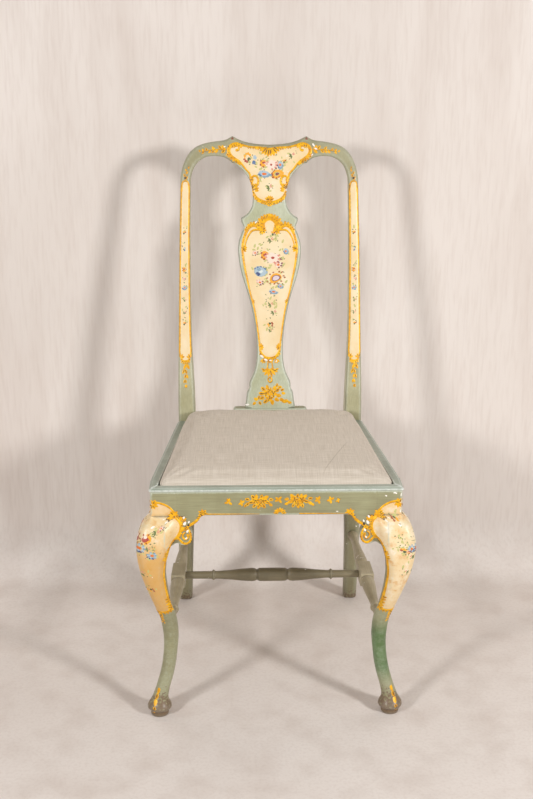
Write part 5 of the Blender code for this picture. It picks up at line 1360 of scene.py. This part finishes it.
for number in (1, 2, 3):
    strap("webbing_long_%d" % number)
    strap("webbing_cross_%d" % number)


def hessian_base():
    """Hessian stretched over the webbing under the stuffing."""
    bm = copy_of("seat_hessian")
    lay_threads(bm, lambda co: co.xy)
    made = piece("woven_seat_hessian", bm, HESSIAN, "drop_in_seat", smooth=False)
    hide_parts("seat_hessian")


hessian_base()


# Studio, in metres; its lamps by name, place and power in watts.

SWEEP_START = 0.28
SWEEP_RADIUS = 0.13
SWEEP_TOP = 3.4
STUDIO_HALF = 4.0
LAMPS = [("left_lamp", (-1.75, -2.1, 1.45), 35), ("right_lamp", (1.9, -2.0, 1.45), 48)]
LAMP_SIZE = 0.42
LAMPS_POINT_AT = Vector((0, 0, 0.55))


def studio():
    """A pale sweep close behind the chair, two soft lamps in front and a dim even surround."""
    bm = bmesh.new()
    profile = [(-STUDIO_HALF, 0.0), (SWEEP_START, 0.0)]
    profile += [(SWEEP_START + SWEEP_RADIUS * math.sin(t), SWEEP_RADIUS * (1 - math.cos(t)))
                for t in np.radians(np.arange(6, 91, 6))]
    profile += [(SWEEP_START + SWEEP_RADIUS, SWEEP_TOP)]
    verts = [bm.verts.new((-STUDIO_HALF, y, z)) for y, z in profile]
    edges = [bm.edges.new(pair) for pair in zip(verts, verts[1:])]
    wide = bmesh.ops.extrude_edge_only(bm, edges=edges)["geom"]
    bmesh.ops.translate(bm, verts=[g for g in wide if isinstance(g, bmesh.types.BMVert)],
                        vec=(2 * STUDIO_HALF, 0, 0))
    bmesh.ops.recalc_face_normals(bm, faces=bm.faces)
    bm.normal_update()
    if max(bm.faces, key=lambda f: abs(f.normal.z)).normal.z < 0:
        bmesh.ops.reverse_faces(bm, faces=bm.faces)
    rear_floor = bmesh.ops.create_grid(bm, x_segments=1, y_segments=1, size=STUDIO_HALF)["verts"]
    bmesh.ops.translate(bm, verts=rear_floor, vec=(0, SWEEP_START + STUDIO_HALF, 0))
    new_object("studio_sweep", bm, studio_paper())
    for name, spot, power in LAMPS:
        lamp = bpy.data.lights.new(name, "AREA")
        lamp.shape = "DISK"
        lamp.size = LAMP_SIZE
        lamp.energy = power
        made = bpy.data.objects.new(name, lamp)
        made.location = spot
        made.rotation_euler = (LAMPS_POINT_AT - Vector(spot)).to_track_quat("-Z", "Y").to_euler()
        scene.collection.objects.link(made)
    world = bpy.data.worlds.new("studio_surround")
    world.use_nodes = True
    tree = world.node_tree
    surround = feed(tree, tree.nodes["Background"], {"Color": hex_colour("#F4EFEA"), "Strength": 0.33})
    # What the camera sees past the sweep, or mirrored in the varnish, is paler than what lights the chair.
    paler = add(tree, "ShaderNodeBackground", {"Color": hex_colour("#E6DCD5"), "Strength": 1.0})
    path = add(tree, "ShaderNodeLightPath").outputs
    seen = path["Is Camera Ray"]
    for ray in ("Is Glossy Ray", "Is Transmission Ray"):
        seen = add(tree, "ShaderNodeMath", {0: seen, 1: path[ray]}, operation="MAXIMUM")
    either = add(tree, "ShaderNodeMixShader", {0: seen, 1: surround, 2: paler})
    feed(tree, tree.nodes["World Output"], {"Surface": either})
    scene.world = world


def camera():
    """The photograph's camera, level with nothing: turned, tipped down and rolled a little."""
    lens = bpy.data.cameras.new("photograph")
    lens.sensor_fit = "VERTICAL"
    lens.sensor_height = SENSOR_HEIGHT
    lens.lens = CAMERA_LENS
    made = bpy.data.objects.new("photograph", lens)
    ahead = Vector((math.sin(CAMERA_YAW) * math.cos(CAMERA_PITCH), math.cos(CAMERA_YAW) * math.cos(CAMERA_PITCH),
                    -math.sin(CAMERA_PITCH)))
    right = Vector((math.cos(CAMERA_YAW), -math.sin(CAMERA_YAW), 0))
    up = right.cross(ahead)
    across = right * math.cos(CAMERA_ROLL) + up * math.sin(CAMERA_ROLL)
    upward = up * math.cos(CAMERA_ROLL) - right * math.sin(CAMERA_ROLL)
    made.matrix_world = Matrix.Translation((CAMERA_ASIDE, RAIL_FACE - CAMERA_AWAY, CAMERA_HEIGHT)) @ Matrix(
        (across, upward, -ahead)).transposed().to_4x4()
    scene.collection.objects.link(made)
    scene.camera = made


studio()
camera()
scene.view_settings.view_transform = "Standard"
